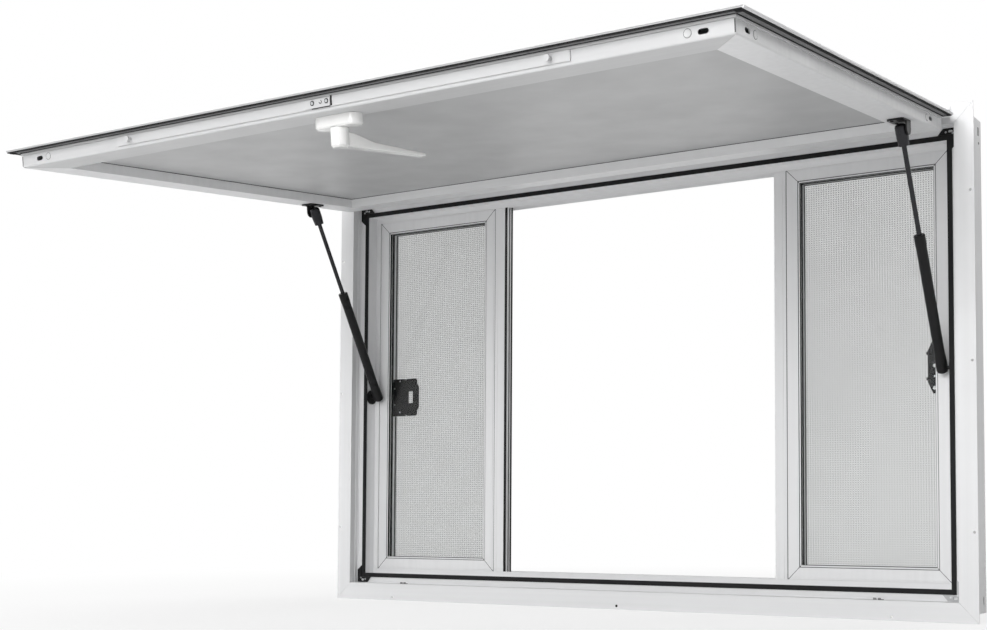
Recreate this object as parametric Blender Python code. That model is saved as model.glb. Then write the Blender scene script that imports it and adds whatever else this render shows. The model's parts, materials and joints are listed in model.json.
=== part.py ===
"""Concession window for a food trailer, modelled open.

An extruded aluminium frame with a wall flange carries an awning panel on a long top hinge, held
open by two gas struts, and two pairs of sliding sashes: glass in the front track and insect
screen in the rear track, parked left and right of the serving opening.

Metres, +Z up. The front of the window faces -Y and X runs left to right seen from outside. The
origin lies on the back face of the bottom flange, on the centre line. The awning is drawn closed
about its hinge and then swung open by the empty that carries it.
"""
import math

import bmesh
import bpy
from mathutils import Matrix, Vector

MM = 0.001
CUT_PAST = 1 * MM           # cutters reach past the wall they cut
TOUCH = 0.3 * MM            # gap between pieces that touch
ROUND_STEPS = 24            # facets round a turned piece
SMOOTH_ANGLE = math.radians(35)

# Wall frame, one extrusion mitred at four corners. "In" is measured inward from the flange edge
# and "deep" backward from the front of the flange.
FRAME_W = 1380 * MM
FRAME_H = 866 * MM
FLANGE_T = 2 * MM
FLANGE_LAP = 13 * MM        # flange outside the wall cut-out
WALL_T = 2 * MM             # extrusion walls
RECESS_IN = 33.6 * MM
RECESS_DEEP = 26.6 * MM
LIP_IN = 51.8 * MM
TRACK_IN = 62 * MM
TRACK_DEEP = 54.3 * MM      # front of the sash tracks
CHANNEL_H = 8 * MM          # depth of the sash channels
RIB_H = 6 * MM
RIB_T = 1.4 * MM
SASH_T = 13.4 * MM
SCREEN_T = 12.9 * MM
ORIGIN_UP = 10.5 * MM       # origin above the bottom edge of the flange
GASKET_IN = 44.8 * MM
GASKET_W = 8.8 * MM        # its soft edge hangs past the lip
GASKET_T = 1.2 * MM
RECESS_GROOVES = ((10.8 * MM, 15.5 * MM), (19.2 * MM, 24.2 * MM))   # start and end, deep
RECESS_GROOVE_H = 1 * MM
SCREW_IN = 6.5 * MM         # screw holes of the flange, inward of its edge
SCREW_R = 2.5 * MM
SCREW_X = 540 * MM          # holes of the sill and head
SCREW_SHARES = (0.173, 0.5, 0.828)     # holes of a jamb, as shares of the height

WEEP_X = 517 * MM
WEEP_SIZE = (15 * MM, 5 * MM)
WEEP_DEEP = 9 * MM
JAMB_SLOT_SIZE = (13.6 * MM, 5 * MM)
JAMB_SLOT_AT = (71.8 * MM, 33.5 * MM)   # deep, and above the bottom edge of the flange
KEY_SHORT = 26 * MM         # corner key, along the recess wall
KEY_LONG = 35 * MM          # along the gasket
KEY_T = 2 * MM
KEY_SLOT = (8 * MM, 4.4 * MM)
KEY_SLOT_FROM = 13 * MM

# Sliding sashes and screens
SASH_BAR_W = 33 * MM
SASH_WALL = 1.5 * MM
SASH_LINE = (6 * MM, 10.5 * MM)         # decorative groove, inward of the bar's outer edge
SASH_LINE_H = 0.7 * MM
SASH_RIM_W = 2.4 * MM       # low rim beside the pane, and the seam between it and the face
SASH_RIM_H = 0.5 * MM
SASH_SEAM_W = 1.6 * MM
SASH_SEAM_H = 1.3 * MM
SASH_MEET_X = 318.6 * MM    # inner edge of the mitred sash frame
MEET_EDGE_X = 301.4 * MM    # edge of the serving opening
GLASS_T = 4.4 * MM
GROOVE_H = 5 * MM
MESH_T = 0.8 * MM
MESH_DEEP = 8.5 * MM        # middle of the mesh behind the front of its frame
LATCH_LOW = 387 * MM        # above the bottom edge of the flange
LATCH_HIGH = 79 * MM
LATCH_BODY_W = 33 * MM
LATCH_W = 67 * MM
LATCH_BODY_T = 6 * MM
LATCH_T = 3 * MM
LATCH_NOTCH = 4 * MM
LATCH_CORNER = 3.5 * MM
LATCH_TAB = (4.5 * MM, 11 * MM, 18 * MM)    # tab at the tip: long, and where its slope runs
LATCH_HOLE = (13 * MM, 25.5 * MM)
LATCH_HOLE_IN = 46 * MM     # middle of the hole from the screen's bar
KEEPER_W = 18 * MM
KEEPER_HIGH = 93 * MM
KEEPER_TAPER = 19 * MM
KEEPER_HOLE_IN = 6 * MM     # from the screen's bar
KEEPER_HOLES = ((9.4 * MM, 2.2 * MM), (29.7 * MM, 1.8 * MM), (48 * MM, 3.5 * MM))    # up, radius
KEEPER_EARS = (25.5 * MM, 70 * MM)      # middles of the two side ears
KEEPER_EAR = (3 * MM, 5.5 * MM)

# Awning, measured from its hinge axis: "down" from the axis along the closed panel, and "n" from
# its outer face towards the wall.
HINGE_OUT = 10.2 * MM       # axis in front of the flange
HINGE_DOWN = 20 * MM        # axis below the top edge of the flange
FACE_Y = 1 * MM             # outer face behind the axis
OPEN_ANGLE = math.radians(84.5)
AWNING_SIDE_IN = 28.4 * MM  # side edge inward of the flange edge
AWNING_FOOT_UP = 30.5 * MM  # closed lower edge above the bottom edge of the flange
AWNING_TOP = 1.1 * MM
SKIN_T = 1 * MM
LINER_T = 1.2 * MM          # inner sheet of the panel
EDGE_T = 1.2 * MM           # edge flange of the awning extrusion
BOX_IN = 17.5 * MM
BOX_BACK = 27.9 * MM
BAR_IN = 68 * MM
PANEL_BACK = 10.8 * MM
REBATE = 8 * MM
BOX_WALL = 2 * MM
LIP_FROM_N = 6.2 * MM       # lip along the outer side of the box
LIP_TO_N = 8.9 * MM
LIP_OUT = 1.5 * MM
SIDE_GROOVE_TO_N = 10.1 * MM
SIDE_GROOVE_H = 1.2 * MM
BACK_ROUND = 2.4 * MM
DRAIN_SIZE = (15 * MM, 7 * MM)          # slots through the outer side of the bars
DRAIN_N = 18 * MM
DRAIN_X = 601 * MM          # on the foot bar
DRAIN_ENDS = (49 * MM, 76 * MM)         # on the side bars, from the foot and from the axis
SEAL_IN = 2 * MM
SEAL_W = 5 * MM
SEAL_T = 1.4 * MM

# Top hinge
BEAD_R = 3 * MM
NECK_T = 1.6 * MM
HOOK_IN_R = 3.4 * MM
HOOK_OUT_R = 5.2 * MM
HOOK_FROM = math.radians(-160)
HOOK_TO = math.radians(65)
HOOK_GAP = 1.8 * MM         # rail web above the hook
HINGE_END_IN = 39 * MM      # hinge ends inward of the flange edge
LEAF_DOWN = 14 * MM
RAIL_UP = 16 * MM
RAIL_T = 1.7 * MM

# Gas struts
STRUT_CLEAR = 19 * MM       # strut centre line inward of the reveal wall
UPPER_BALL_DOWN = 150.6 * MM           # down the awning from the axis
UPPER_BALL_N = 42 * MM                 # behind the outer face of the awning
LOWER_BALL_DOWN = 419 * MM             # below the axis
LOWER_BALL_DEEP = 40.4 * MM            # behind the front of the flange
CYLINDER_R = 9 * MM
CYLINDER_BORE_R = 7.6 * MM
ROD_R = 4 * MM
SOCKET_R = 10 * MM
SOCKET_LONG = 26 * MM
CYLINDER_TOP = 228.7 * MM   # from the lower ball
GLAND_LONG = 6 * MM         # rod guide at the mouth of the cylinder
BASE_LONG = 10 * MM         # solid foot of the cylinder above its socket
ROD_IN = 30.3 * MM          # rod inside the cylinder while open
EDGE_ROUND = 1 * MM
SOCKET_CHAMFER = 1.3 * MM
SOCKET_CONE = 14 * MM      # length of the tapered mouth
SOCKET_SHOULDER = 4 * MM    # where a socket starts to round off, from the ball
BALL_R = 5 * MM
STUD_R = 3 * MM
BRACKET_T = 2.5 * MM
FOOT_INBOARD = 15.5 * MM    # foot plate from the strut's centre line
FOOT_DOWN = 27 * MM         # foot plate from the ball, towards the lower edge of the awning
FOOT_UP = 12 * MM
FOOT_CORNER_R = 5 * MM
FOOT_HOLE_R = 2.2 * MM
FOOT_HOLES = ((-8 * MM, -20 * MM), (3 * MM, -20 * MM), (-9 * MM, 5 * MM))   # from the ball
LEG_HALF = 10 * MM
PLATE_HALF_DEEP = 13 * MM
PLATE_HALF_HIGH = 15 * MM
PLATE_CORNER_R = 12 * MM

# Handle and lock bar
HANDLE_IN = 53.5 * MM       # pivot inward of the awning's lower edge
HANDLE_BASE = (80 * MM, 27 * MM, 16.3 * MM)
BASE_CORNER_R = 13.4 * MM   # the ends are round
BASE_EDGE = 2.5 * MM
HUB_R = 13 * MM
HUB_H = 28 * MM
HUB_ROUND = 3 * MM
LEVER_LONG = 150 * MM
LEVER_ROOT_HALF = 10 * MM   # half widths of the lever at its root and near its tip
LEVER_TIP_HALF = 8 * MM
LEVER_BACK = 2 * MM         # far face below the end of the hub
LEVER_ROOT_T = 20 * MM      # thickness at the root, after the bend, and at the tip
LEVER_MID_T = 10 * MM
LEVER_TIP_T = 4.5 * MM
LEVER_BEND = (12 * MM, 62 * MM)
LEVER_CORNER_R = 1.9 * MM
LEVER_TIP_R = 3 * MM
LEVER_STEPS = 16
LEVER_TIP_STEPS = 3
LEVER_TURN = math.radians(12)
LOCK_BAR_HALF = 415 * MM
LOCK_PIN_IN = 30 * MM       # pins inward of the bar ends
PIN_NECK_R = 3 * MM
PIN_HEAD_R = 4.5 * MM
PIN_NECK_LONG = 6.5 * MM
PIN_LONG = 9.5 * MM
PIN_STEPS = 12
LOCK_BAR_W = 14 * MM
LOCK_BAR_T = 2 * MM
LOCK_BAR_N = 15.6 * MM      # middle of the bar behind the outer face
DRIVE_PLATE_X = (-27 * MM, 20 * MM)
DRIVE_PLATE_T = 1.5 * MM

FRONT = -FLANGE_T
BOTTOM = -ORIGIN_UP
TOP = BOTTOM + FRAME_H
HINGE_Y = FRONT - HINGE_OUT
HINGE_Z = TOP - HINGE_DOWN
AWNING_W = FRAME_W - 2 * AWNING_SIDE_IN
AWNING_LONG = HINGE_Z - BOTTOM - AWNING_FOOT_UP
HINGE_LONG = FRAME_W - 2 * HINGE_END_IN
STRUT_X = FRAME_W / 2 - LIP_IN - STRUT_CLEAR
HANDLE_DOWN = AWNING_LONG - HANDLE_IN
LEAF_GAP = LEAF_DOWN / 2    # top bar's edge flange, which stops behind the hinge leaf
SASH_IN = TRACK_IN - CHANNEL_H + TOUCH
SASH_FRONT = FRONT + TRACK_DEEP + WALL_T + TOUCH
SCREEN_FRONT = SASH_FRONT + SASH_T + TOUCH + RIB_T + TOUCH
SIDES = {"left": -1, "right": 1}


def clear_scene():
    for item in list(bpy.data.objects):
        bpy.data.objects.remove(item, do_unlink=True)


def finish_material(name, colour, metallic, roughness):
    finish = bpy.data.materials.new(name)
    finish.use_nodes = True
    shader = finish.node_tree.nodes["Principled BSDF"]
    shader.inputs["Base Color"].default_value = (*colour, 1)
    shader.inputs["Metallic"].default_value = metallic
    shader.inputs["Roughness"].default_value = roughness
    return finish


def pivot(name, location, turn=0.0):
    """An empty on a joint axis, turned about X."""
    holder = bpy.data.objects.new(name, None)
    holder.location = location
    holder.rotation_euler = (turn, 0, 0)
    bpy.context.collection.objects.link(holder)
    return holder


def add_piece(name, bm, finish, holder=None, smooth=False):
    bmesh.ops.recalc_face_normals(bm, faces=bm.faces)
    if bm.calc_volume(signed=True) < 0:
        bmesh.ops.reverse_faces(bm, faces=bm.faces)
    mesh = bpy.data.meshes.new(name)
    bm.to_mesh(mesh)
    bm.free()
    mesh.materials.append(finish)
    if smooth:
        mesh.shade_smooth()
        mesh.set_sharp_from_angle(angle=SMOOTH_ANGLE)
    piece = bpy.data.objects.new(name, mesh)
    piece.parent = holder
    bpy.context.collection.objects.link(piece)
    return piece


def combine(piece, tool, operation):
    """Boolean of a piece with a hidden tool object."""
    step = piece.modifiers.new(tool.name, "BOOLEAN")
    step.operation = operation
    step.solver = "EXACT"
    step.object = tool
    tool.hide_render = True
    tool.display_type = "WIRE"


def fill_section(bm, loops, place):
    """Fills closed loops of 2D points as one flat face set, holes left open."""
    edges = []
    for loop in loops:
        verts = [bm.verts.new(place(a, b)) for a, b in loop]
        edges += [bm.edges.new((verts[i - 1], verts[i])) for i in range(len(verts))]
    bmesh.ops.triangle_fill(bm, use_beauty=True, use_dissolve=True, edges=edges)


def extrude_section(loops, place, travel):
    """A prism: the section filled, then extruded by a vector that may depend on the point."""
    bm = bmesh.new()
    fill_section(bm, loops, place)
    grown = bmesh.ops.extrude_face_region(bm, geom=list(bm.faces))
    for item in grown["geom"]:
        if isinstance(item, bmesh.types.BMVert):
            item.co += travel(item.co)
    return bm


def rounded_rect(half_a, half_b, radius, steps=6, centre=(0.0, 0.0)):
    points = []
    for corner in range(4):
        sign_a = 1 if corner in (0, 3) else -1
        sign_b = 1 if corner in (0, 1) else -1
        for step in range(steps + 1):
            angle = math.pi / 2 * (corner + step / steps)
            points.append((
                centre[0] + sign_a * (half_a - radius) + radius * math.cos(angle),
                centre[1] + sign_b * (half_b - radius) + radius * math.sin(angle),
            ))
    return points


class Rectangle:
    """An upright rectangle whose four mitred sides share one section."""

    def __init__(self, left, right, low, high):
        self.left, self.right, self.low, self.high = left, right, low, high

    def corner(self, index, inward, y):
        x = self.left + inward if index in (0, 3) else self.right - inward
        z = self.low + inward if index in (0, 1) else self.high - inward
        return Vector((x, y, z))

    def bar(self, side, loops):
        """One mitred side: 0 bottom, 1 right, 2 top, 3 left."""
        ahead = (side + 1) % 4
        along = (self.corner(ahead, 0, 0) - self.corner(side, 0, 0)).normalized()
        clear = along * (TOUCH / 2 * math.sqrt(2))

        def place(inward, y):
            return self.corner(side, inward, y) + clear

        def travel(point):
            start = self.corner(side, 0, point.y)
            inward = (point - clear - start).dot(along)
            return self.corner(ahead, inward, point.y) - clear - point

        return extrude_section(loops, place, travel)

    def ring(self, section):
        """The section swept round all four corners as one closed ring."""
        bm = bmesh.new()
        loops = []
        for index in range(4):
            verts = [bm.verts.new(self.corner(index, inward, y)) for inward, y in section]
            loops.append([bm.edges.new((verts[i - 1], verts[i])) for i in range(len(verts))])
        for index in range(4):
            bmesh.ops.bridge_loops(bm, edges=loops[index] + loops[index - 1])
        return bm


def slab(x_span, y_span, z_span):
    bm = bmesh.new()
    bmesh.ops.create_cube(bm, size=1)
    size = Vector((x_span[1] - x_span[0], y_span[1] - y_span[0], z_span[1] - z_span[0]))
    middle = Vector((sum(x_span), sum(y_span), sum(z_span))) / 2
    bmesh.ops.scale(bm, vec=size, verts=bm.verts)
    bmesh.ops.translate(bm, vec=middle, verts=bm.verts)
    return bm


def turned(profile, steps=ROUND_STEPS):
    """A solid turned about local Z from (radius, height) points that start and end on the axis."""
    bm = bmesh.new()
    verts = [bm.verts.new((radius, 0, height)) for radius, height in profile]
    edges = [bm.edges.new(pair) for pair in zip(verts, verts[1:])]
    bmesh.ops.spin(bm, geom=verts + edges, cent=(0, 0, 0), axis=(0, 0, 1),
                   angle=math.tau, steps=steps, use_merge=True)
    bmesh.ops.remove_doubles(bm, verts=bm.verts, dist=0.01 * MM)
    return bm


def frame_section():
    deep = FRONT + TRACK_DEEP
    floor_in = TRACK_IN - CHANNEL_H
    front_wall = deep + WALL_T
    rib_front = front_wall + SASH_T + 2 * TOUCH
    rib_back = rib_front + RIB_T
    rear_wall = rib_back + SCREEN_T + 2 * TOUCH
    back = rear_wall + WALL_T
    step_y = FRONT + RECESS_DEEP
    outline = [(0, FRONT), (RECESS_IN, FRONT)]
    for start, end in RECESS_GROOVES:
        floor = RECESS_IN - RECESS_GROOVE_H
        outline += [(RECESS_IN, FRONT + start), (floor, FRONT + start),
                    (floor, FRONT + end), (RECESS_IN, FRONT + end)]
    outline += [
        (RECESS_IN, step_y), (LIP_IN, step_y), (LIP_IN, deep), (TRACK_IN, deep),
        (TRACK_IN, front_wall), (floor_in, front_wall),
        (floor_in, rib_front), (floor_in + RIB_H, rib_front),
        (floor_in + RIB_H, rib_back), (floor_in, rib_back),
        (floor_in, rear_wall), (TRACK_IN, rear_wall), (TRACK_IN, back),
        (FLANGE_LAP, back), (FLANGE_LAP, 0), (0, 0),
    ]
    chamber = [
        (FLANGE_LAP + WALL_T, 0), (RECESS_IN - WALL_T, 0), (RECESS_IN - WALL_T, step_y + WALL_T),
        (LIP_IN - WALL_T, step_y + WALL_T), (LIP_IN - WALL_T, front_wall),
        (floor_in - WALL_T, front_wall), (floor_in - WALL_T, rear_wall),
        (FLANGE_LAP + WALL_T, rear_wall),
    ]
    return [outline, chamber]


FRAME_SIDES = ("frame_sill", "frame_jamb_right", "frame_head", "frame_jamb_left")
AWNING_SIDES = ("awning_foot", "awning_bar_right", "awning_head", "awning_bar_left")


def stadium(size, centre):
    """Outline of a slot with round ends, long in its first direction."""
    return rounded_rect(size[0] / 2, size[1] / 2, size[1] / 2 - TOUCH / 4, steps=4, centre=centre)


def circle(radius, centre, steps=12):
    return [(centre[0] + radius * math.cos(math.tau * i / steps),
             centre[1] + radius * math.sin(math.tau * i / steps)) for i in range(steps)]


def cut_through(piece, name, loops, place, travel, finish, holder=None):
    """Cuts holes of the given outlines through a wall of a piece."""
    tool = bmesh.new()
    for loop in loops:
        prism = extrude_section([loop], place, lambda point: Vector(travel))
        part = bpy.data.meshes.new(name)
        prism.to_mesh(part)
        prism.free()
        tool.from_mesh(part)
        bpy.data.meshes.remove(part)
    combine(piece, add_piece(name, tool, finish, holder), "DIFFERENCE")


def build_frame(aluminium, rubber):
    frame = Rectangle(-FRAME_W / 2, FRAME_W / 2, BOTTOM, TOP)
    bars = {name: add_piece(name, frame.bar(side, frame_section()), aluminium)
            for side, name in enumerate(FRAME_SIDES)}
    for name, z in (("frame_sill", BOTTOM + SCREW_IN), ("frame_head", TOP - SCREW_IN)):
        holes = [circle(SCREW_R, (x, z)) for x in (-SCREW_X, SCREW_X)]
        cut_through(bars[name], f"cut_screws_{name}", holes,
                    lambda x, z: Vector((x, FRONT - CUT_PAST, z)),
                    (0, FLANGE_T + 2 * CUT_PAST, 0), aluminium)
    weeps = [stadium(WEEP_SIZE, (x, FRONT + WEEP_DEEP)) for x in (-WEEP_X, WEEP_X)]
    cut_through(bars["frame_sill"], "cut_weeps", weeps,
                lambda x, y: Vector((x, y, BOTTOM + RECESS_IN - WALL_T - CUT_PAST)),
                (0, 0, WALL_T + 2 * CUT_PAST), aluminium)
    for side, sign in SIDES.items():
        jamb = bars[f"frame_jamb_{side}"]
        holes = [circle(SCREW_R, (sign * (FRAME_W / 2 - SCREW_IN), BOTTOM + share * FRAME_H))
                 for share in SCREW_SHARES]
        cut_through(jamb, f"cut_screws_{side}", holes,
                    lambda x, z: Vector((x, FRONT - CUT_PAST, z)),
                    (0, FLANGE_T + 2 * CUT_PAST, 0), aluminium)
        slot = stadium(JAMB_SLOT_SIZE, (BOTTOM + JAMB_SLOT_AT[1], FRONT + JAMB_SLOT_AT[0]))
        wall_x = sign * (FRAME_W / 2 - FLANGE_LAP + CUT_PAST)
        cut_through(jamb, f"cut_slot_{side}", [slot], lambda z, y: Vector((wall_x, y, z)),
                    (-sign * (WALL_T + 2 * CUT_PAST), 0, 0), aluminium)
    back = FRONT + RECESS_DEEP - TOUCH
    gasket = [(GASKET_IN, back - GASKET_T), (GASKET_IN + GASKET_W, back - GASKET_T),
              (GASKET_IN + GASKET_W, back), (GASKET_IN, back)]
    add_piece("frame_gasket", frame.ring(gasket), rubber)


def build_corner_keys(black, aluminium):
    """Angle plates in the four corners of the recess, with a slot in the level arm."""
    near, far = RECESS_IN + TOUCH, GASKET_IN - TOUCH
    outline = [(near, near), (near + KEY_SHORT, near), (near + KEY_LONG, far), (far, far),
               (far, near + KEY_LONG), (near, near + KEY_SHORT)]
    slot = stadium(KEY_SLOT, (near + KEY_SLOT_FROM, (near + far) / 2))
    front = FRONT + RECESS_DEEP - TOUCH - KEY_T
    for side, sign in SIDES.items():
        for level, edge, way in (("bottom", BOTTOM, 1), ("top", TOP, -1)):
            key = extrude_section(
                [outline, slot],
                lambda a, b: Vector((sign * (FRAME_W / 2 - a), front, edge + way * b)),
                lambda point: Vector((0, KEY_T, 0)))
            bare = side == "right" and level == "bottom"
            add_piece(f"corner_key_{level}_{side}", key, aluminium if bare else black)


def sash_section(front, thick, groove_middle, groove_h):
    """A sash bar, open towards its track, with a groove for the pane or the mesh."""
    back = front + thick
    groove_in = SASH_BAR_W - GROOVE_H
    web_in = groove_in - SASH_WALL
    low, high = front + groove_middle - groove_h / 2, front + groove_middle + groove_h / 2
    line_from, line_to = SASH_LINE
    line_floor = front + SASH_LINE_H
    seam_to = SASH_BAR_W - SASH_RIM_W
    seam_from = seam_to - SASH_SEAM_W
    return [
        (0, front), (line_from, front), (line_from, line_floor), (line_to, line_floor),
        (line_to, front), (seam_from, front), (seam_from, front + SASH_SEAM_H),
        (seam_to, front + SASH_SEAM_H), (seam_to, front + SASH_RIM_H),
        (SASH_BAR_W, front + SASH_RIM_H), (SASH_BAR_W, low), (groove_in, low),
        (groove_in, high), (SASH_BAR_W, high), (SASH_BAR_W, back), (0, back),
        (0, back - SASH_WALL), (web_in, back - SASH_WALL),
        (web_in, front + SASH_WALL), (0, front + SASH_WALL),
    ]


def build_sash(side, sign, front, thick, filling_middle, filling_t, names, finishes):
    """One sliding sash: mitred frame, pull stile at the serving opening, and its filling."""
    frame_name, stile_name, filling_name = names
    low, high = BOTTOM + SASH_IN, TOP - SASH_IN
    outer = FRAME_W / 2 - SASH_IN
    spans = sorted((sign * SASH_MEET_X, sign * outer))
    rectangle = Rectangle(spans[0], spans[1], low, high)
    groove_h = filling_t + 2 * TOUCH
    section = sash_section(front, thick, filling_middle, groove_h)
    add_piece(f"{frame_name}_{side}", rectangle.ring(section), finishes[0])

    edge, inner = MEET_EDGE_X, SASH_MEET_X - TOUCH
    back = front + thick
    channel = [(edge, front), (inner, front), (inner, front + SASH_WALL),
               (edge + SASH_WALL, front + SASH_WALL), (edge + SASH_WALL, back - SASH_WALL),
               (inner, back - SASH_WALL), (inner, back), (edge, back)]
    stile = extrude_section([channel], lambda x, y: Vector((sign * x, y, low)),
                            lambda point: Vector((0, 0, high - low)))
    add_piece(f"{stile_name}_{side}", stile, finishes[0])

    inset = SASH_BAR_W - GROOVE_H + TOUCH
    middle = front + filling_middle
    filling = slab((spans[0] + inset, spans[1] - inset),
                   (middle - filling_t / 2, middle + filling_t / 2),
                   (low + inset, high - inset))
    add_piece(f"{filling_name}_{side}", filling, finishes[1])


def build_latch(black):
    """Latch plate inside the left screen's outer bar, and its keeper on the right."""
    bar_x = FRAME_W / 2 - SASH_IN - SASH_BAR_W - TOUCH
    low = BOTTOM + LATCH_LOW
    high = low + LATCH_HIGH
    front = SCREEN_FRONT
    body_end, tip = -bar_x + LATCH_BODY_W, -bar_x + LATCH_W
    tab, slope_from, slope_to = LATCH_TAB
    edge = tip - tab
    outline = [
        (-bar_x, low), (body_end - LATCH_NOTCH, low), (body_end, low + LATCH_NOTCH),
        (body_end + LATCH_NOTCH, low), (edge - LATCH_CORNER, low), (edge, low + LATCH_CORNER),
        (edge, low + slope_from), (tip, low + slope_to), (tip, high - slope_to),
        (edge, high - slope_from), (edge, high - LATCH_CORNER), (edge - LATCH_CORNER, high),
        (body_end + LATCH_NOTCH, high), (body_end, high - LATCH_NOTCH),
        (body_end - LATCH_NOTCH, high), (-bar_x, high),
    ]
    hole = rounded_rect(LATCH_HOLE[0] / 2, LATCH_HOLE[1] / 2, MM, steps=2,
                        centre=(-bar_x + LATCH_HOLE_IN, (low + high) / 2))
    plate = extrude_section([outline, hole], lambda x, z: Vector((x, front, z)),
                            lambda point: Vector((0, LATCH_T, 0)))
    body = add_piece("screen_latch", plate, black)
    block = slab((-bar_x, body_end - LATCH_NOTCH), (front + LATCH_T / 2, front + LATCH_BODY_T),
                 (low, high))
    combine(body, add_piece("cut_latch_block", block, black), "UNION")

    inner = bar_x - KEEPER_W
    top = low + KEEPER_HIGH
    outline = [(bar_x, low), (bar_x, top), (inner + KEEPER_W / 2, top), (inner, top - KEEPER_TAPER)]
    reach, tall = KEEPER_EAR
    for middle in sorted(KEEPER_EARS, reverse=True):
        ear_low, ear_high = low + middle - tall / 2, low + middle + tall / 2
        outline += [(inner, ear_high), (inner - reach, ear_high),
                    (inner - reach, ear_low), (inner, ear_low)]
    outline += [(inner, low + KEEPER_TAPER), (inner + KEEPER_W / 2, low)]
    holes = [circle(radius, (bar_x - KEEPER_HOLE_IN, low + up)) for up, radius in KEEPER_HOLES]
    keeper = extrude_section([outline] + holes, lambda x, z: Vector((x, front, z)),
                             lambda point: Vector((0, LATCH_T, 0)))
    add_piece("screen_keeper", keeper, black)


def awning_section(flange_from):
    """The awning bar: an edge flange under the skin, a box, and a rebate for the panel."""
    flange_front = FACE_Y + SKIN_T + TOUCH
    flange_back = flange_front + EDGE_T
    back = FACE_Y + BOX_BACK
    rebate_in = BAR_IN - REBATE
    rebate_y = FACE_Y + PANEL_BACK + TOUCH
    corner = arc(BACK_ROUND, math.pi, math.pi / 2, 3)
    outline = [
        (flange_from, flange_front), (flange_from, flange_back), (BOX_IN, flange_back),
        (BOX_IN, LIP_FROM_N), (BOX_IN - LIP_OUT, LIP_FROM_N), (BOX_IN - LIP_OUT, LIP_TO_N),
        (BOX_IN + SIDE_GROOVE_H, LIP_TO_N), (BOX_IN + SIDE_GROOVE_H, SIDE_GROOVE_TO_N),
        (BOX_IN, SIDE_GROOVE_TO_N)]
    outline += [(BOX_IN + BACK_ROUND + a, back - BACK_ROUND + b) for a, b in corner]
    outline += [
        (BAR_IN, back), (BAR_IN, rebate_y), (rebate_in, rebate_y),
        (rebate_in, flange_front),
    ]
    chamber = [
        (BOX_IN + BOX_WALL, flange_front + BOX_WALL), (BOX_IN + BOX_WALL, back - BOX_WALL),
        (BAR_IN - BOX_WALL, back - BOX_WALL), (BAR_IN - BOX_WALL, rebate_y + BOX_WALL),
        (rebate_in - BOX_WALL, rebate_y + BOX_WALL), (rebate_in - BOX_WALL, flange_front + BOX_WALL),
    ]
    return [outline, chamber]


def build_awning(holder, aluminium, skin_finish, rubber):
    half = AWNING_W / 2
    edge = Rectangle(-half, half, -AWNING_LONG, -AWNING_TOP)
    bars = {}
    for side, name in enumerate(AWNING_SIDES):
        flange_from = LEAF_GAP if name == "awning_head" else EDGE_T
        bars[name] = add_piece(name, edge.bar(side, awning_section(flange_from)), aluminium,
                               holder)
    slots = [stadium(DRAIN_SIZE, (x, DRAIN_N)) for x in (-DRAIN_X, DRAIN_X)]
    wall_z = -AWNING_LONG + BOX_IN - BOX_WALL / 2
    cut_through(bars["awning_foot"], "cut_drains_foot", slots,
                lambda x, y: Vector((x, y, wall_z)), (0, 0, 2 * BOX_WALL), aluminium, holder)
    for side, sign in SIDES.items():
        slots = [stadium(DRAIN_SIZE, (z, DRAIN_N))
                 for z in (-AWNING_LONG + DRAIN_ENDS[0], -DRAIN_ENDS[1])]
        wall_x = sign * (half - BOX_IN + BOX_WALL / 2)
        cut_through(bars[f"awning_bar_{side}"], f"cut_drains_{side}", slots,
                    lambda z, y: Vector((wall_x, y, z)), (-sign * 2 * BOX_WALL, 0, 0),
                    aluminium, holder)

    inset = BAR_IN - REBATE + TOUCH
    liner_back = FACE_Y + PANEL_BACK
    liner = slab((-half + inset, half - inset), (liner_back - LINER_T, liner_back),
                 (-AWNING_LONG + inset, -AWNING_TOP - inset))
    add_piece("awning_liner", liner, skin_finish, holder)
    skin = slab((-half, half), (FACE_Y, FACE_Y + SKIN_T), (-AWNING_LONG, -LEAF_DOWN - TOUCH))
    add_piece("awning_skin", skin, skin_finish, holder)

    seal_front = FACE_Y + SKIN_T + TOUCH + EDGE_T + TOUCH
    seal = [(0, seal_front), (SEAL_W, seal_front), (SEAL_W, seal_front + SEAL_T),
            (0, seal_front + SEAL_T)]
    top = -AWNING_TOP - LEAF_GAP - SEAL_IN
    ring = Rectangle(-half + SEAL_IN, half - SEAL_IN, -AWNING_LONG + SEAL_IN, top)
    add_piece("awning_seal", ring.ring(seal), rubber, holder)


def arc(radius, start, end, steps):
    return [(radius * math.cos(start + (end - start) * i / steps),
             radius * math.sin(start + (end - start) * i / steps)) for i in range(steps + 1)]


def along_hinge(section):
    """A hinge extrusion: its (y, z) section about the axis, run along X."""
    return extrude_section([section], lambda y, z: Vector((-HINGE_LONG / 2, y, z)),
                           lambda point: Vector((HINGE_LONG, 0, 0)))


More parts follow.
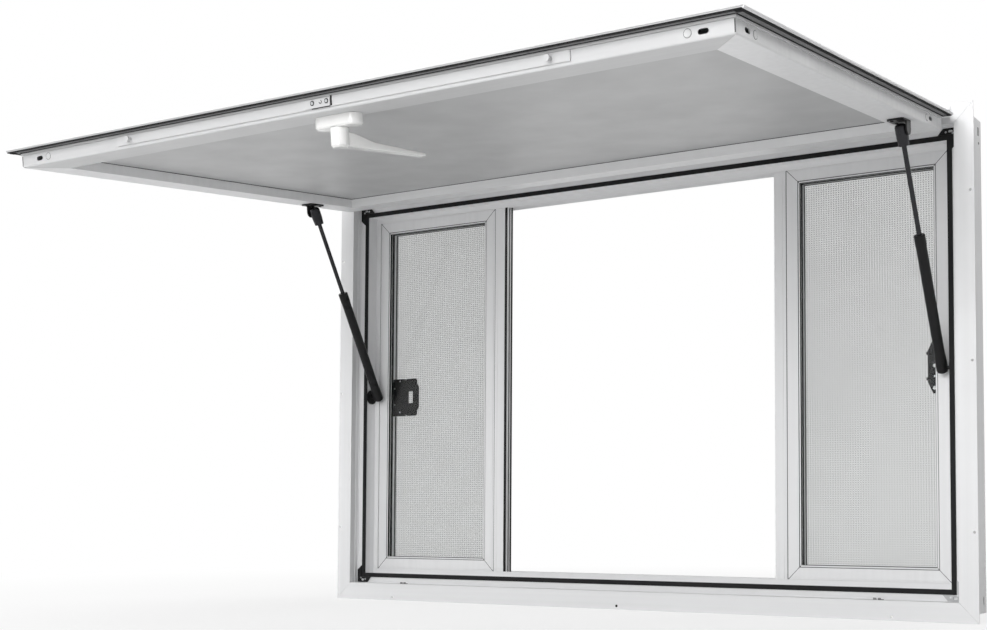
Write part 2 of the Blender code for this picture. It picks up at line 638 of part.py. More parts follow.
def build_hinge(holder, aluminium):
    half_neck = NECK_T / 2
    neck_angle = math.asin(half_neck / BEAD_R)
    web_low = HOOK_OUT_R + HOOK_GAP
    web_high = web_low + RAIL_T
    leg_back = HINGE_OUT - TOUCH
    leg_front = leg_back - RAIL_T
    section = arc(BEAD_R, math.pi / 2 + neck_angle, math.pi * 2.5 - neck_angle, 20)
    section += [(half_neck, web_low), (leg_back, web_low), (leg_back, RAIL_UP),
                (leg_front, RAIL_UP), (leg_front, web_high), (-half_neck, web_high)]
    rail = along_hinge(section)
    bmesh.ops.translate(rail, vec=(0, HINGE_Y, HINGE_Z), verts=rail.verts)
    add_piece("hinge_rail", rail, aluminium, smooth=True)

    tail_in, tail_out = FACE_Y + SKIN_T, FACE_Y
    angle_in = -math.acos(tail_in / HOOK_OUT_R)
    angle_out = -math.acos(tail_out / HOOK_OUT_R)
    hook = arc(HOOK_OUT_R, HOOK_FROM, angle_out, 8)
    hook += [(tail_out, -LEAF_DOWN), (tail_in, -LEAF_DOWN)]
    hook += arc(HOOK_OUT_R, angle_in, HOOK_TO, 12)
    hook += arc(HOOK_IN_R, HOOK_TO, HOOK_FROM, 20)
    add_piece("hinge_leaf", along_hinge(hook), aluminium, holder, smooth=True)


def swing(point_y, point_z):
    """Where a point of the closed awning, given about its axis, lies once the awning is open."""
    turned_point = Matrix.Rotation(-OPEN_ANGLE, 3, "X") @ Vector((0, point_y, point_z))
    return turned_point + Vector((0, HINGE_Y, HINGE_Z))


def build_upper_bracket(side, sign, holder, steel):
    """Foot plate on the awning bar, with a leg beside the socket and a ball stud."""
    ball_y, ball_z = FACE_Y + UPPER_BALL_N, -UPPER_BALL_DOWN
    foot_front = FACE_Y + BOX_BACK + TOUCH
    leg_in = STRUT_X + SOCKET_R + TOUCH
    leg_out = leg_in + BRACKET_T
    foot_in = STRUT_X - FOOT_INBOARD
    centre = ((foot_in + leg_out) / 2, ball_z + (FOOT_UP - FOOT_DOWN) / 2)
    foot_loops = [rounded_rect((leg_out - foot_in) / 2, (FOOT_UP + FOOT_DOWN) / 2, FOOT_CORNER_R,
                               steps=3, centre=centre)]
    foot_loops += [circle(FOOT_HOLE_R, (STRUT_X + x, ball_z + z)) for x, z in FOOT_HOLES]
    foot = extrude_section(foot_loops, lambda x, z: Vector((sign * x, foot_front, z)),
                           lambda point: Vector((0, BRACKET_T, 0)))
    ear = leg_outline(foot_front, ball_y, ball_z)
    leg = extrude_section([ear], lambda y, z: Vector((sign * leg_in, y, z)),
                          lambda point: Vector((sign * BRACKET_T, 0, 0)))
    body = add_piece(f"strut_ear_{side}", foot, steel, holder)
    leg_tool = add_piece(f"cut_leg_{side}", leg, steel, holder)
    combine(body, leg_tool, "UNION")
    stud_end = SOCKET_R + TOUCH + BRACKET_T / 2
    stud = turned([(0, -BALL_R)] + ball_points(BALL_R, STUD_R) +
                  [(STUD_R, stud_end), (0, stud_end)])
    bmesh.ops.rotate(stud, matrix=Matrix.Rotation(sign * math.pi / 2, 3, "Y"), verts=stud.verts)
    bmesh.ops.translate(stud, vec=(sign * STRUT_X, ball_y, ball_z), verts=stud.verts)
    stud_tool = add_piece(f"cut_stud_{side}", stud, steel, holder, smooth=True)
    combine(body, stud_tool, "UNION")


def leg_outline(foot_front, ball_y, ball_z):
    """Side outline of the bracket leg: straight, and round about the ball stud."""
    tip = arc(LEG_HALF, -math.pi / 2, math.pi / 2, ROUND_STEPS // 3)
    outline = [(foot_front, ball_z + LEG_HALF), (foot_front, ball_z - LEG_HALF)]
    return outline + [(ball_y + a, ball_z + b) for a, b in tip]


def ball_points(radius, neck, steps=8):
    """Points of a ball from its far pole to where the stud leaves it."""
    end = math.pi / 2 - math.asin(neck / radius)
    return [(radius * math.cos(-math.pi / 2 + (end + math.pi / 2) * i / steps),
             radius * math.sin(-math.pi / 2 + (end + math.pi / 2) * i / steps))
            for i in range(1, steps + 1)]


def build_lower_bracket(side, sign, steel):
    """Plate on the reveal wall of the jamb that the lower ball stud is fixed to."""
    y, z = FRONT + LOWER_BALL_DEEP, HINGE_Z - LOWER_BALL_DOWN
    wall_x = FRAME_W / 2 - LIP_IN - TOUCH
    outline = rounded_rect(PLATE_HALF_DEEP, PLATE_HALF_HIGH, PLATE_CORNER_R, centre=(y, z))
    plate = extrude_section([outline], lambda a, b: Vector((sign * wall_x, a, b)),
                            lambda point: Vector((-sign * BRACKET_T, 0, 0)))
    add_piece(f"strut_plate_{side}", plate, steel)


def socket_end(way):
    """Profile of a socket's rounded end past the ball, from its full radius to the axis."""
    rise = SOCKET_R - SOCKET_SHOULDER
    return [(SOCKET_R * math.cos(angle), way * (SOCKET_SHOULDER + rise * math.sin(angle)))
            for angle in (0, math.pi / 6, math.pi / 3)] + [(0, way * SOCKET_R)]


def build_strut(side, sign, black, steel):
    """Gas strut: the rod hangs from the awning ball and the cylinder slides on the rod."""
    upper = swing(FACE_Y + UPPER_BALL_N, -UPPER_BALL_DOWN)
    lower = Vector((0, FRONT + LOWER_BALL_DEEP, HINGE_Z - LOWER_BALL_DOWN))
    run = upper - lower
    turn = math.atan2(-run.y, run.z)
    upper.x = lower.x = sign * STRUT_X
    rod_holder = pivot(f"strut_rod_pivot_{side}", upper, turn)
    cylinder_holder = pivot(f"strut_cylinder_pivot_{side}", lower, turn)

    rod_long = run.length - CYLINDER_TOP + ROD_IN
    rod = turned([(0, -rod_long), (ROD_R, -rod_long), (ROD_R, -SOCKET_LONG),
                  (SOCKET_R - SOCKET_CHAMFER, -SOCKET_LONG),
                  (SOCKET_R, -SOCKET_LONG + SOCKET_CONE)] + socket_end(1))
    body = add_piece(f"strut_rod_{side}", rod, steel, rod_holder, smooth=True)
    bore = turned([(0, -BALL_R - TOUCH), (BALL_R + TOUCH, -BALL_R - TOUCH),
                   (BALL_R + TOUCH, 2 * SOCKET_R), (0, 2 * SOCKET_R)])
    bmesh.ops.rotate(bore, matrix=Matrix.Rotation(sign * math.pi / 2, 3, "Y"), verts=bore.verts)
    combine(body, add_piece(f"cut_socket_{side}", bore, steel, rod_holder), "DIFFERENCE")

    gland_low = CYLINDER_TOP - GLAND_LONG
    bore_low = SOCKET_LONG + BASE_LONG
    gap_r = ROD_R + TOUCH
    cylinder = turned(socket_end(-1)[::-1] + [
        (SOCKET_R, SOCKET_LONG - SOCKET_CONE), (CYLINDER_R, SOCKET_LONG),
        (CYLINDER_R, CYLINDER_TOP - EDGE_ROUND), (CYLINDER_R - EDGE_ROUND, CYLINDER_TOP),
        (gap_r, CYLINDER_TOP), (gap_r, gland_low), (CYLINDER_BORE_R, gland_low),
        (CYLINDER_BORE_R, bore_low), (0, bore_low)])
    body = add_piece(f"strut_cylinder_{side}", cylinder, black, cylinder_holder, smooth=True)
    plate_x = FRAME_W / 2 - LIP_IN - 2 * TOUCH - BRACKET_T
    stud = turned([(0, 0), (STUD_R, 0), (STUD_R, plate_x - STRUT_X), (0, plate_x - STRUT_X)])
    bmesh.ops.rotate(stud, matrix=Matrix.Rotation(sign * math.pi / 2, 3, "Y"), verts=stud.verts)
    combine(body, add_piece(f"cut_lower_stud_{side}", stud, steel, cylinder_holder), "UNION")


def build_handle(awning_holder, white):
    """Handle base on the foot bar, with the lever on its own pivot."""
    length, height, thick = HANDLE_BASE
    face = FACE_Y + BOX_BACK + TOUCH
    centre = (0, -HANDLE_DOWN)
    rings = [(0, 0), (0, thick - BASE_EDGE), (BASE_EDGE / 2, thick - BASE_EDGE / 3),
             (BASE_EDGE, thick)]
    base = loft([[Vector((x, face + rise, z)) for x, z in rounded_rect(
        length / 2 - inset, height / 2 - inset, BASE_CORNER_R - inset, centre=centre)]
        for inset, rise in rings])
    add_piece("handle_base", base, white, awning_holder, smooth=True)

    hub_foot = face + thick + TOUCH
    lever_holder = bpy.data.objects.new("handle_pivot", None)
    lever_holder.parent = awning_holder
    lever_holder.location = (0, hub_foot, -HANDLE_DOWN)
    lever_holder.rotation_euler = (0, LEVER_TURN, 0)
    bpy.context.collection.objects.link(lever_holder)
    hub = turned([(0, 0), (HUB_R, 0), (HUB_R, HUB_H - HUB_ROUND), (HUB_R - HUB_ROUND, HUB_H),
                  (0, HUB_H)])
    bmesh.ops.rotate(hub, matrix=Matrix.Rotation(-math.pi / 2, 3, "X"), verts=hub.verts)
    body = add_piece("handle_lever", hub, white, lever_holder, smooth=True)
    straight = LEVER_LONG - LEVER_TIP_R
    alongs = [straight * step / LEVER_STEPS for step in range(LEVER_STEPS + 1)]
    alongs += [straight + LEVER_TIP_R * math.sin(math.pi / 2 * step / LEVER_TIP_STEPS)
               for step in range(1, LEVER_TIP_STEPS + 1)]
    blade = loft([lever_ring(along) for along in alongs])
    tool = add_piece("cut_lever_blade", blade, white, lever_holder, smooth=True)
    combine(body, tool, "UNION")


def ease(value, start, end):
    """Smooth 0 to 1 step between start and end."""
    share = min(max((value - start) / (end - start), 0), 1)
    return share * share * (3 - 2 * share)


def lever_ring(along):
    """Section of the lever: thick at its root, bent towards its far face, thin at its tip."""
    share = along / LEVER_LONG
    past_bend = max((along - LEVER_BEND[1]) / (LEVER_LONG - LEVER_BEND[1]), 0)
    blade_t = LEVER_MID_T + (LEVER_TIP_T - LEVER_MID_T) * past_bend
    thick = LEVER_ROOT_T + (blade_t - LEVER_ROOT_T) * ease(along, *LEVER_BEND)
    half = LEVER_ROOT_HALF + (LEVER_TIP_HALF - LEVER_ROOT_HALF) * share
    past = min(max(along - LEVER_LONG + LEVER_TIP_R, 0), LEVER_TIP_R)
    half -= LEVER_TIP_R - math.sqrt(LEVER_TIP_R ** 2 - past ** 2)
    middle = HUB_H - LEVER_BACK - thick / 2
    outline = rounded_rect(half, thick / 2, LEVER_CORNER_R, steps=3, centre=(0, middle))
    return [Vector((x, y, along)) for x, y in outline]


def loft(rings):
    """A closed solid bridged from ring to ring, with flat ends."""
    bm = bmesh.new()
    loops = []
    for ring in rings:
        verts = [bm.verts.new(point) for point in ring]
        loops.append([bm.edges.new((verts[i - 1], verts[i])) for i in range(len(verts))])
        if ring in (rings[0], rings[-1]):
            bm.faces.new(verts)
    for first, second in zip(loops, loops[1:]):
        bmesh.ops.bridge_loops(bm, edges=first + second)
    return bm


def build_lock_bar(holder, steel):
    """Sliding bar on the outer side of the foot bar, with a mushroom pin near each end."""
    box_down = AWNING_LONG - BOX_IN
    top = -box_down - TOUCH
    middle = FACE_Y + LOCK_BAR_N
    bar = slab((-LOCK_BAR_HALF, LOCK_BAR_HALF),
               (middle - LOCK_BAR_W / 2, middle + LOCK_BAR_W / 2), (top - LOCK_BAR_T, top))
    body = add_piece("lock_bar", bar, steel, holder)
    low = top - LOCK_BAR_T
    drive = slab(DRIVE_PLATE_X, (middle - LOCK_BAR_W / 2 + MM, middle + LOCK_BAR_W / 2 - MM),
                 (low - DRIVE_PLATE_T, low + LOCK_BAR_T / 2))
    combine(body, add_piece("cut_drive_plate", drive, steel, holder), "UNION")
    for side, sign in SIDES.items():
        pin = turned([(0, 0), (PIN_NECK_R, 0), (PIN_NECK_R, -PIN_NECK_LONG),
                      (PIN_HEAD_R, -PIN_NECK_LONG), (PIN_HEAD_R, -PIN_LONG), (0, -PIN_LONG)],
                     steps=PIN_STEPS)
        pin_x = sign * (LOCK_BAR_HALF - LOCK_PIN_IN)
        bmesh.ops.translate(pin, vec=(pin_x, middle, top - LOCK_BAR_T / 2), verts=pin.verts)
        combine(body, add_piece(f"cut_pin_{side}", pin, steel, holder), "UNION")


def main():
    clear_scene()
    aluminium = finish_material("satin_aluminium", (0.78, 0.79, 0.8), 0.9, 0.35)
    skin = finish_material("painted_skin", (0.72, 0.73, 0.74), 0.2, 0.4)
    glass = finish_material("clear_glass", (0.85, 0.9, 0.9), 0.0, 0.05)
    mesh = finish_material("insect_mesh", (0.6, 0.61, 0.62), 0.0, 0.7)
    rubber = finish_material("black_rubber", (0.02, 0.02, 0.02), 0.0, 0.8)
    black = finish_material("black_paint", (0.02, 0.02, 0.02), 0.1, 0.35)
    steel = finish_material("black_steel", (0.04, 0.04, 0.04), 0.4, 0.4)
    white = finish_material("white_handle", (0.85, 0.85, 0.85), 0.0, 0.25)

    build_frame(aluminium, rubber)
    build_corner_keys(steel, aluminium)
    for side, sign in SIDES.items():
        build_sash(side, sign, SASH_FRONT, SASH_T, SASH_T / 2, GLASS_T,
                   ("sash_frame", "sash_stile", "glass"), (aluminium, glass))
        build_sash(side, sign, SCREEN_FRONT, SCREEN_T, MESH_DEEP, MESH_T,
                   ("screen_frame", "screen_stile", "screen_mesh"), (aluminium, mesh))
    build_latch(steel)

    awning = pivot("awning_hinge", (0, HINGE_Y, HINGE_Z), -OPEN_ANGLE)
    build_awning(awning, aluminium, skin, rubber)
    build_hinge(awning, aluminium)
    for side, sign in SIDES.items():
        build_upper_bracket(side, sign, awning, steel)
        build_lower_bracket(side, sign, steel)
        build_strut(side, sign, black, steel)
    build_handle(awning, white)
    build_lock_bar(awning, aluminium)


main()
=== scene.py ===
"""Looks of an open concession window: aluminium frame, sliding sashes, screens and awning panel.

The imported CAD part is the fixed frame. Its nodes get procedural finishes, and small fittings that
the part leaves out, such as screws, seals and the woven screens, are modelled here. Metres, +Z up,
the customer's side faces -Y. Pieces of the awning are drawn closed about the hinge and placed by
one matrix.
"""

import json
import logging
import math
from collections.abc import Iterator
from contextlib import contextmanager
from dataclasses import dataclass, field
from enum import Enum

import bmesh
import bpy
from mathutils import Matrix, Vector


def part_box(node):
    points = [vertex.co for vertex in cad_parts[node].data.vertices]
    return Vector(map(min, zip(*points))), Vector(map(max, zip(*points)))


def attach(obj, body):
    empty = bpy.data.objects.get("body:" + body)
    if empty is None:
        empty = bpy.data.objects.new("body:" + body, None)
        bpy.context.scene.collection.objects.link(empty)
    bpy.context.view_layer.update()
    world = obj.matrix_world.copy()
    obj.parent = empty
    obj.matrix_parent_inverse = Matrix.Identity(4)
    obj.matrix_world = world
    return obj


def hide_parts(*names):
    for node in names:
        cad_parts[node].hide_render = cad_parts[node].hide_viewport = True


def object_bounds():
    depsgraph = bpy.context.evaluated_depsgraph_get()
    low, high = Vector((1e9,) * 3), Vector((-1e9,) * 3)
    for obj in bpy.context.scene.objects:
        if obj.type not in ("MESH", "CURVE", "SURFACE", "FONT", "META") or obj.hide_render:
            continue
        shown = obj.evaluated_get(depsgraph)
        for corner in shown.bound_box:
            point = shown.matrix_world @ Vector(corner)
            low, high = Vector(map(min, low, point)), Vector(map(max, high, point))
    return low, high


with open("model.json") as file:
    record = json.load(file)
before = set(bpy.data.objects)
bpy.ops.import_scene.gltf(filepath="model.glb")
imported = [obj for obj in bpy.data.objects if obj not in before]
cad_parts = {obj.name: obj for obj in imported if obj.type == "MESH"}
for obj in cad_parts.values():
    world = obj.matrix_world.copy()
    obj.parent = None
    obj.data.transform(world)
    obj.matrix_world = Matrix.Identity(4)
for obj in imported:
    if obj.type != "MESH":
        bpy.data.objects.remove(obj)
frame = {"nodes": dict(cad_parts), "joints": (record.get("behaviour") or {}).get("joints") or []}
cad_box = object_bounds()

LOG = logging.getLogger("concession_window")
MM = 0.001
Pair = tuple[float, float]
Pairs = tuple[Pair, ...]
Triple = tuple[float, float, float]
BMesh = bmesh.types.BMesh
Node = bpy.types.Node
Socket = bpy.types.NodeSocket
Tree = bpy.types.NodeTree
Inputs = dict[str | int, object]
SIDES: dict[str, int] = {"left": -1, "right": 1}
DOWN: Triple = (0, 0, -1)
TO_FRONT: Triple = (0, -1, 0)
TO_BACK: Triple = (0, 1, 0)

HINGE: dict = next(joint for joint in frame["joints"] if joint["name"] == "awning_hinge")
OPEN_DEG: float = HINGE["range_deg"][1]
# Outer sides of the awning's bars: from the middle, and down from the hinge.
BAR_SIDE = 644.1 * MM
BAR_FOOT = 798 * MM
AWNING_PLACE: Matrix = Matrix.Translation(HINGE["pos_m"]) @ Matrix.Rotation(-math.radians(OPEN_DEG), 4, "X")


def mm(*sizes: float) -> tuple[float, ...]:
    """Gives sizes in millimetres as metres."""
    return tuple(size * MM for size in sizes)


class Body(Enum):
    """CAD bodies that carry the pieces made here."""

    FRAME = "frame"
    AWNING = "awning"
    HANDLE = "handle"
    LOCK_BAR = "lock_bar"
    STRUT_ROD_LEFT = "strut_rod_left"
    STRUT_ROD_RIGHT = "strut_rod_right"
    STRUT_CYLINDER_LEFT = "strut_cylinder_left"
    STRUT_CYLINDER_RIGHT = "strut_cylinder_right"


DRAWN_CLOSED: tuple[Body, ...] = (Body.AWNING, Body.HANDLE, Body.LOCK_BAR)


class Along(Enum):
    """Turn of an extrusion's grain: a share of the open awning's slope about X, and a turn about Y."""

    ACROSS = (0.0, 0.0)
    UPRIGHT = (0.0, math.pi / 2)
    DOWN_AWNING = (-1.0, math.pi / 2)


# Shader tools

# Noise values between which nearly all of a noise texture lies.
NOISE_SPAN: Pair = (0.3, 0.7)
# Share of its real frequency that a drawn line keeps along the extrusion.
GRAIN_STRETCH = 0.012
STREAKS_A_METRE = 90.0
CLOUDS_A_METRE = 14.0
PEBBLES_A_METRE = 1400.0
RELIEF_DISTANCE = 0.2 * MM
RELIEF_STRENGTH = 0.35


@dataclass
class NodeBoard:
    """A node tree with short calls for adding and feeding nodes."""

    tree: Tree

    def add(self, kind: str, values: Inputs | None = None, **settings: object) -> Node:
        """Adds a node.

        Args:
            kind: Node type without its ShaderNode prefix.
            values: What its inputs get.
            settings: Node properties to set.

        Returns:
            The new node.
        """
        node = self.tree.nodes.new(f"ShaderNode{kind}")
        for key, value in settings.items():
            setattr(node, key, value)
        self.feed(node, values or {})
        return node

    def feed(self, node: Node, values: Inputs) -> None:
        """Fills inputs of a node.

        Args:
            node: Node to fill.
            values: Socket to link or value to set, by the input's name or place.
        """
        for key, value in values.items():
            if isinstance(value, Socket):
                self.tree.links.new(value, node.inputs[key])
            else:
                node.inputs[key].default_value = value

    def maths(self, operation: str, first: object, second: object) -> Socket:
        """Adds a Math node.

        Args:
            operation: Blender's name of the operation.
            first: Socket or number.
            second: Socket or number.

        Returns:
            The result's socket.
        """
        return self.add("Math", {0: first, 1: second}, operation=operation).outputs[0]

    def noise(self, vector: Socket, scale: object, detail: float) -> Socket:
        """Adds a noise texture.

        Args:
            vector: Coordinates.
            scale: Socket or number, in cycles a metre.
            detail: Octaves.

        Returns:
            The noise value's socket.
        """
        return self.add("TexNoise", {"Vector": vector, "Scale": scale, "Detail": detail}).outputs["Fac"]

    def spread(self, value: Socket, low: object, high: object) -> Socket:
        """Maps a noise value onto a range.

        Args:
            value: Noise value.
            low: Result at the low end of the noise, a socket or a number.
            high: Result at its high end, a socket or a number.

        Returns:
            The mapped value's socket.
        """
        node = self.add("MapRange", {"Value": value, "From Min": NOISE_SPAN[0],
                                     "From Max": NOISE_SPAN[1], "To Min": low, "To Max": high})
        return node.outputs["Result"]


def new_group(name: str, inputs: dict[str, str],
              outputs: dict[str, str]) -> tuple[NodeBoard, Node, Node]:
    """Starts a shader node group.

    Args:
        name: Name of the group.
        inputs: Socket types by input name.
        outputs: Socket types by output name.

    Returns:
        The group's board, its input node and its output node.
    """
    tree = bpy.data.node_groups.new(name, "ShaderNodeTree")
    for way, sockets in (("INPUT", inputs), ("OUTPUT", outputs)):
        for key, kind in sockets.items():
            tree.interface.new_socket(name=key, in_out=way, socket_type=f"NodeSocket{kind}")
    return NodeBoard(tree), tree.nodes.new("NodeGroupInput"), tree.nodes.new("NodeGroupOutput")


def drawn_grain_group() -> Tree:
    """Builds the fine lines that an extrusion die leaves, along local X.

    Returns:
        The node group: Vector, Lines and Depth in, Height and Streak out.
    """
    board, source, result = new_group(
        "drawn_grain", {"Vector": "Vector", "Lines": "Float", "Depth": "Float"},
        {"Height": "Float", "Streak": "Float"})
    stretch = board.add("Mapping", {"Vector": source.outputs["Vector"], "Scale": (GRAIN_STRETCH, 1, 1)})
    drawn = stretch.outputs["Vector"]
    fine = board.noise(drawn, source.outputs["Lines"], detail=3.0)
    broad = board.noise(drawn, STREAKS_A_METRE, detail=2.0)
    height = board.maths("MULTIPLY", fine, source.outputs["Depth"])
    board.feed(result, {"Height": height, "Streak": broad})
    return board.tree


def handling_group() -> Tree:
    """Builds the uneven sheen of a surface that has been handled and wiped.

    Returns:
        The node group: Vector, Roughness and Spread in, Roughness and Film out.
    """
    board, source, result = new_group(
        "handling", {"Vector": "Vector", "Roughness": "Float", "Spread": "Float"},
        {"Roughness": "Float", "Film": "Float"})
    cloud = board.noise(source.outputs["Vector"], CLOUDS_A_METRE, detail=4.0)
    low = board.maths("SUBTRACT", source.outputs["Roughness"], source.outputs["Spread"])
    high = board.maths("ADD", source.outputs["Roughness"], source.outputs["Spread"])
    board.feed(result, {"Roughness": board.spread(cloud, low, high), "Film": cloud})
    return board.tree


def tone_group() -> Tree:
    """Builds a slow drift of tone about a base colour.

    Returns:
        The node group: Mask, Base and Shade in, Color out.
    """
    board, source, result = new_group(
        "tone_drift", {"Mask": "Float", "Base": "Color", "Shade": "Color"}, {"Color": "Color"})
    share = board.spread(source.outputs["Mask"], 0.0, 1.0)
    mix = board.add("Mix", {"Factor": share, "A": source.outputs["Base"], "B": source.outputs["Shade"]},
                    data_type="RGBA")
    board.feed(result, {"Color": mix.outputs["Result"]})
    return board.tree


@dataclass
class Groups:
    """Node groups shared by the finishes."""

    grain: Tree = field(default_factory=drawn_grain_group)
    handling: Tree = field(default_factory=handling_group)
    tone: Tree = field(default_factory=tone_group)


def new_material(name: str) -> tuple[bpy.types.Material, NodeBoard, Node]:
    """Starts a material.

    Args:
        name: Name of the material.

    Returns:
        The material, its board and its Principled BSDF.
    """
    material = bpy.data.materials.new(name)
    material.use_nodes = True
    board = NodeBoard(material.node_tree)
    return material, board, board.tree.nodes["Principled BSDF"]


# Finishes


@dataclass(frozen=True)
class Finish:
    """A surface: its slot in the record, colours and sheen, and how its grain runs."""

    name: str
    slot: str
    base: Triple
    shade: Triple
    roughness: float
    spread: float = 0.05
    metallic: float = 0.0
    coat: float = 0.0
    along: Along = Along.ACROSS
    lines: float = 900.0
    depth: float = 0.0
    bump: float = 0.0
    specular: float = 0.5

    def make(self, groups: Groups) -> bpy.types.Material:
        """Builds the material.

        Args:
            groups: Shared node groups.

        Returns:
            The material, with its Principled BSDF set.
        """
        material, board, shader = new_material(self.name)
        place = board.add("TexCoord").outputs["Object"]
        slope, swing = self.along.value
        turn = board.add("Mapping", {
            "Vector": place, "Rotation": (slope * math.radians(90 - OPEN_DEG), swing, 0)})
        handled = board.add("Group", {"Vector": place, "Roughness": self.roughness,
                                      "Spread": self.spread}, node_tree=groups.handling)
        grain = board.add("Group", {"Vector": turn.outputs["Vector"], "Lines": self.lines,
                                    "Depth": self.depth}, node_tree=groups.grain)
        mask = grain.outputs["Streak"] if self.depth else handled.outputs["Film"]
        tone = board.add("Group", {"Mask": mask, "Base": (*self.base, 1), "Shade": (*self.shade, 1)},
                         node_tree=groups.tone)
        board.feed(shader, {
            "Roughness": handled.outputs["Roughness"], "Base Color": tone.outputs["Color"],
            "Metallic": self.metallic, "Coat Weight": self.coat, "Specular IOR Level": self.specular})
        if self.depth or self.bump:
            height = grain.outputs["Height"]
            if self.bump:
                pebble = board.noise(place, PEBBLES_A_METRE, detail=2.0)
                height = board.maths("ADD", height, board.maths("MULTIPLY", pebble, self.bump))
            relief = board.add("Bump", {"Height": height, "Distance": RELIEF_DISTANCE,
                                        "Strength": RELIEF_STRENGTH})
            board.feed(shader, {"Normal": relief.outputs["Normal"]})
        return material


@dataclass(frozen=True)
class GlassFinish:
    """Clear float glass with a trace of green, and an IOR low enough that it mirrors little."""

    name: str = "clear_glass"
    slot: str = "window_glass"
    tint: Triple = (0.97, 0.98, 0.975)
    roughness: float = 0.025
    spread: float = 0.015
    ior: float = 1.2

    def make(self, groups: Groups) -> bpy.types.Material:
        """Builds the material.

        Args:
            groups: Shared node groups.

        Returns:
            The glass material.
        """
        material, board, shader = new_material(self.name)
        place = board.add("TexCoord").outputs["Object"]
        handled = board.add("Group", {"Vector": place, "Roughness": self.roughness,
                                      "Spread": self.spread}, node_tree=groups.handling)
        board.feed(shader, {
            "Roughness": handled.outputs["Roughness"], "Base Color": (*self.tint, 1),
            "Transmission Weight": 1.0, "IOR": self.ior})
        return material


METAL = dict(slot="frame_aluminium", roughness=0.42, metallic=0.1, depth=0.5, specular=0.35)
BRIGHT = dict(base=(0.82, 0.823, 0.83), shade=(0.785, 0.788, 0.795), **METAL)
FINISHES: tuple[Finish | GlassFinish, ...] = (
    Finish("aluminium_across", **BRIGHT),
    # A darker copy of the aluminium: painted shade on the foot bar, the lock bar and the foot bar's plugs.
    Finish("aluminium_foot_painted_shade", base=(0.61, 0.613, 0.618), shade=(0.58, 0.583, 0.588), **METAL),
    Finish("aluminium_upright", along=Along.UPRIGHT, **BRIGHT),
    Finish("aluminium_down", along=Along.DOWN_AWNING, **BRIGHT),
    Finish("panel_sheet", "awning_sheet", (0.505, 0.508, 0.512), (0.475, 0.478, 0.482), 0.45,
           metallic=0.05, bump=0.25),
    Finish("skin_paint", "awning_sheet", (0.72, 0.723, 0.728), (0.69, 0.693, 0.698), 0.34,
           coat=0.2, bump=0.15),
    Finish("rubber", "black_rubber", (0.012, 0.012, 0.013), (0.02, 0.02, 0.02), 0.62,
           bump=0.5, specular=0.12),
    # Dark grey that stands in for shade: painted shade under the awning's edge flange, at the weep slots
    # and under the lever's hub.
    Finish("grey_painted_shade", "black_rubber", (0.26, 0.26, 0.262), (0.21, 0.21, 0.212), 0.55,
           bump=0.3, specular=0.25),
    Finish("steel_black", "black_steel", (0.012, 0.012, 0.013), (0.02, 0.02, 0.02), 0.3,
           spread=0.06, coat=0.01, bump=0.15, specular=0.12),
    Finish("rod_nitrided", "rod_steel", (0.045, 0.045, 0.048), (0.025, 0.025, 0.028), 0.25,
           metallic=0.6, specular=0.2),
    Finish("white_moulded", "white_plastic", (0.86, 0.86, 0.85), (0.83, 0.83, 0.82), 0.22,
           spread=0.04, coat=0.3),
    # Dark strips in joints, grooves and gaps: painted shade.
    Finish("joint_shadow", "frame_aluminium", (0.12, 0.12, 0.122), (0.08, 0.08, 0.082), 0.6,
           specular=0.2),
    Finish("screw_zinc", "frame_aluminium", (0.70, 0.71, 0.72), (0.55, 0.56, 0.57), 0.28,
           metallic=0.95),
    # Lit grey copy for one corner key, while the other keys take black: painted light and shade on one
    # part.
    Finish("key_painted_lit", "frame_aluminium", (0.34, 0.343, 0.35), (0.46, 0.463, 0.47), 0.4,
           spread=0.1, metallic=0.3, bump=0.4),
    Finish("screen_wire", "insect_mesh", (0.29, 0.292, 0.296), (0.24, 0.242, 0.246), 0.5,
           specular=0.3),
    GlassFinish(),
)


class Palette:
    """Every finish of the window, made once."""

    def __init__(self) -> None:
        """Makes the finishes."""
        groups = Groups()
        self.by_name = {finish.name: finish for finish in FINISHES}
        self.material = {name: finish.make(groups) for name, finish in self.by_name.items()}


# Pieces

WELD_DISTANCE = 0.002 * MM
SHARP_ANGLE = math.radians(32)
WASHER_SIDES = 28
WIRE_SIDES = 10
TURN_STEPS = 32


def add_piece(name: str, bm: BMesh, finish: str, body: Body, palette: Palette,
              smooth: bool = True) -> bpy.types.Object:
    """Turns a bmesh into a piece that rides on a CAD body.

    Args:
        name: Name of the piece.
        bm: Its mesh, which is freed. On the awning, the handle and the lock bar it is drawn closed.
        finish: Name of its finish.
        body: CAD body that it rides on.
        palette: The finishes.
        smooth: Whether rounded stretches are shaded smooth.

    Returns:
        The new object.
    """
    if body in DRAWN_CLOSED:
        bmesh.ops.transform(bm, matrix=AWNING_PLACE, verts=bm.verts)
    bmesh.ops.remove_doubles(bm, verts=bm.verts, dist=WELD_DISTANCE)
    bmesh.ops.recalc_face_normals(bm, faces=bm.faces)
    mesh = bpy.data.meshes.new(name)
    bm.to_mesh(mesh)
    bm.free()
    mesh.materials.append(palette.material[finish])
    if smooth:
        mesh.shade_smooth()
        mesh.set_sharp_from_angle(angle=SHARP_ANGLE)
    piece = bpy.data.objects.new(name, mesh)
    bpy.context.scene.collection.objects.link(piece)
    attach(piece, body.value)
    LOG.info("%s: %d faces on %s", name, len(mesh.polygons), body.value)
    return piece


def steps_from(base: float, steps: Pair) -> Pair:
    """Gives the places that lie two steps from a base."""
    return base + steps[0], base + steps[1]


def on_side(sign: int, span: Pair) -> list[float]:
    """Gives a span of distances from the middle as X on one side, the lower first."""
    return sorted((sign * span[0], sign * span[1]))


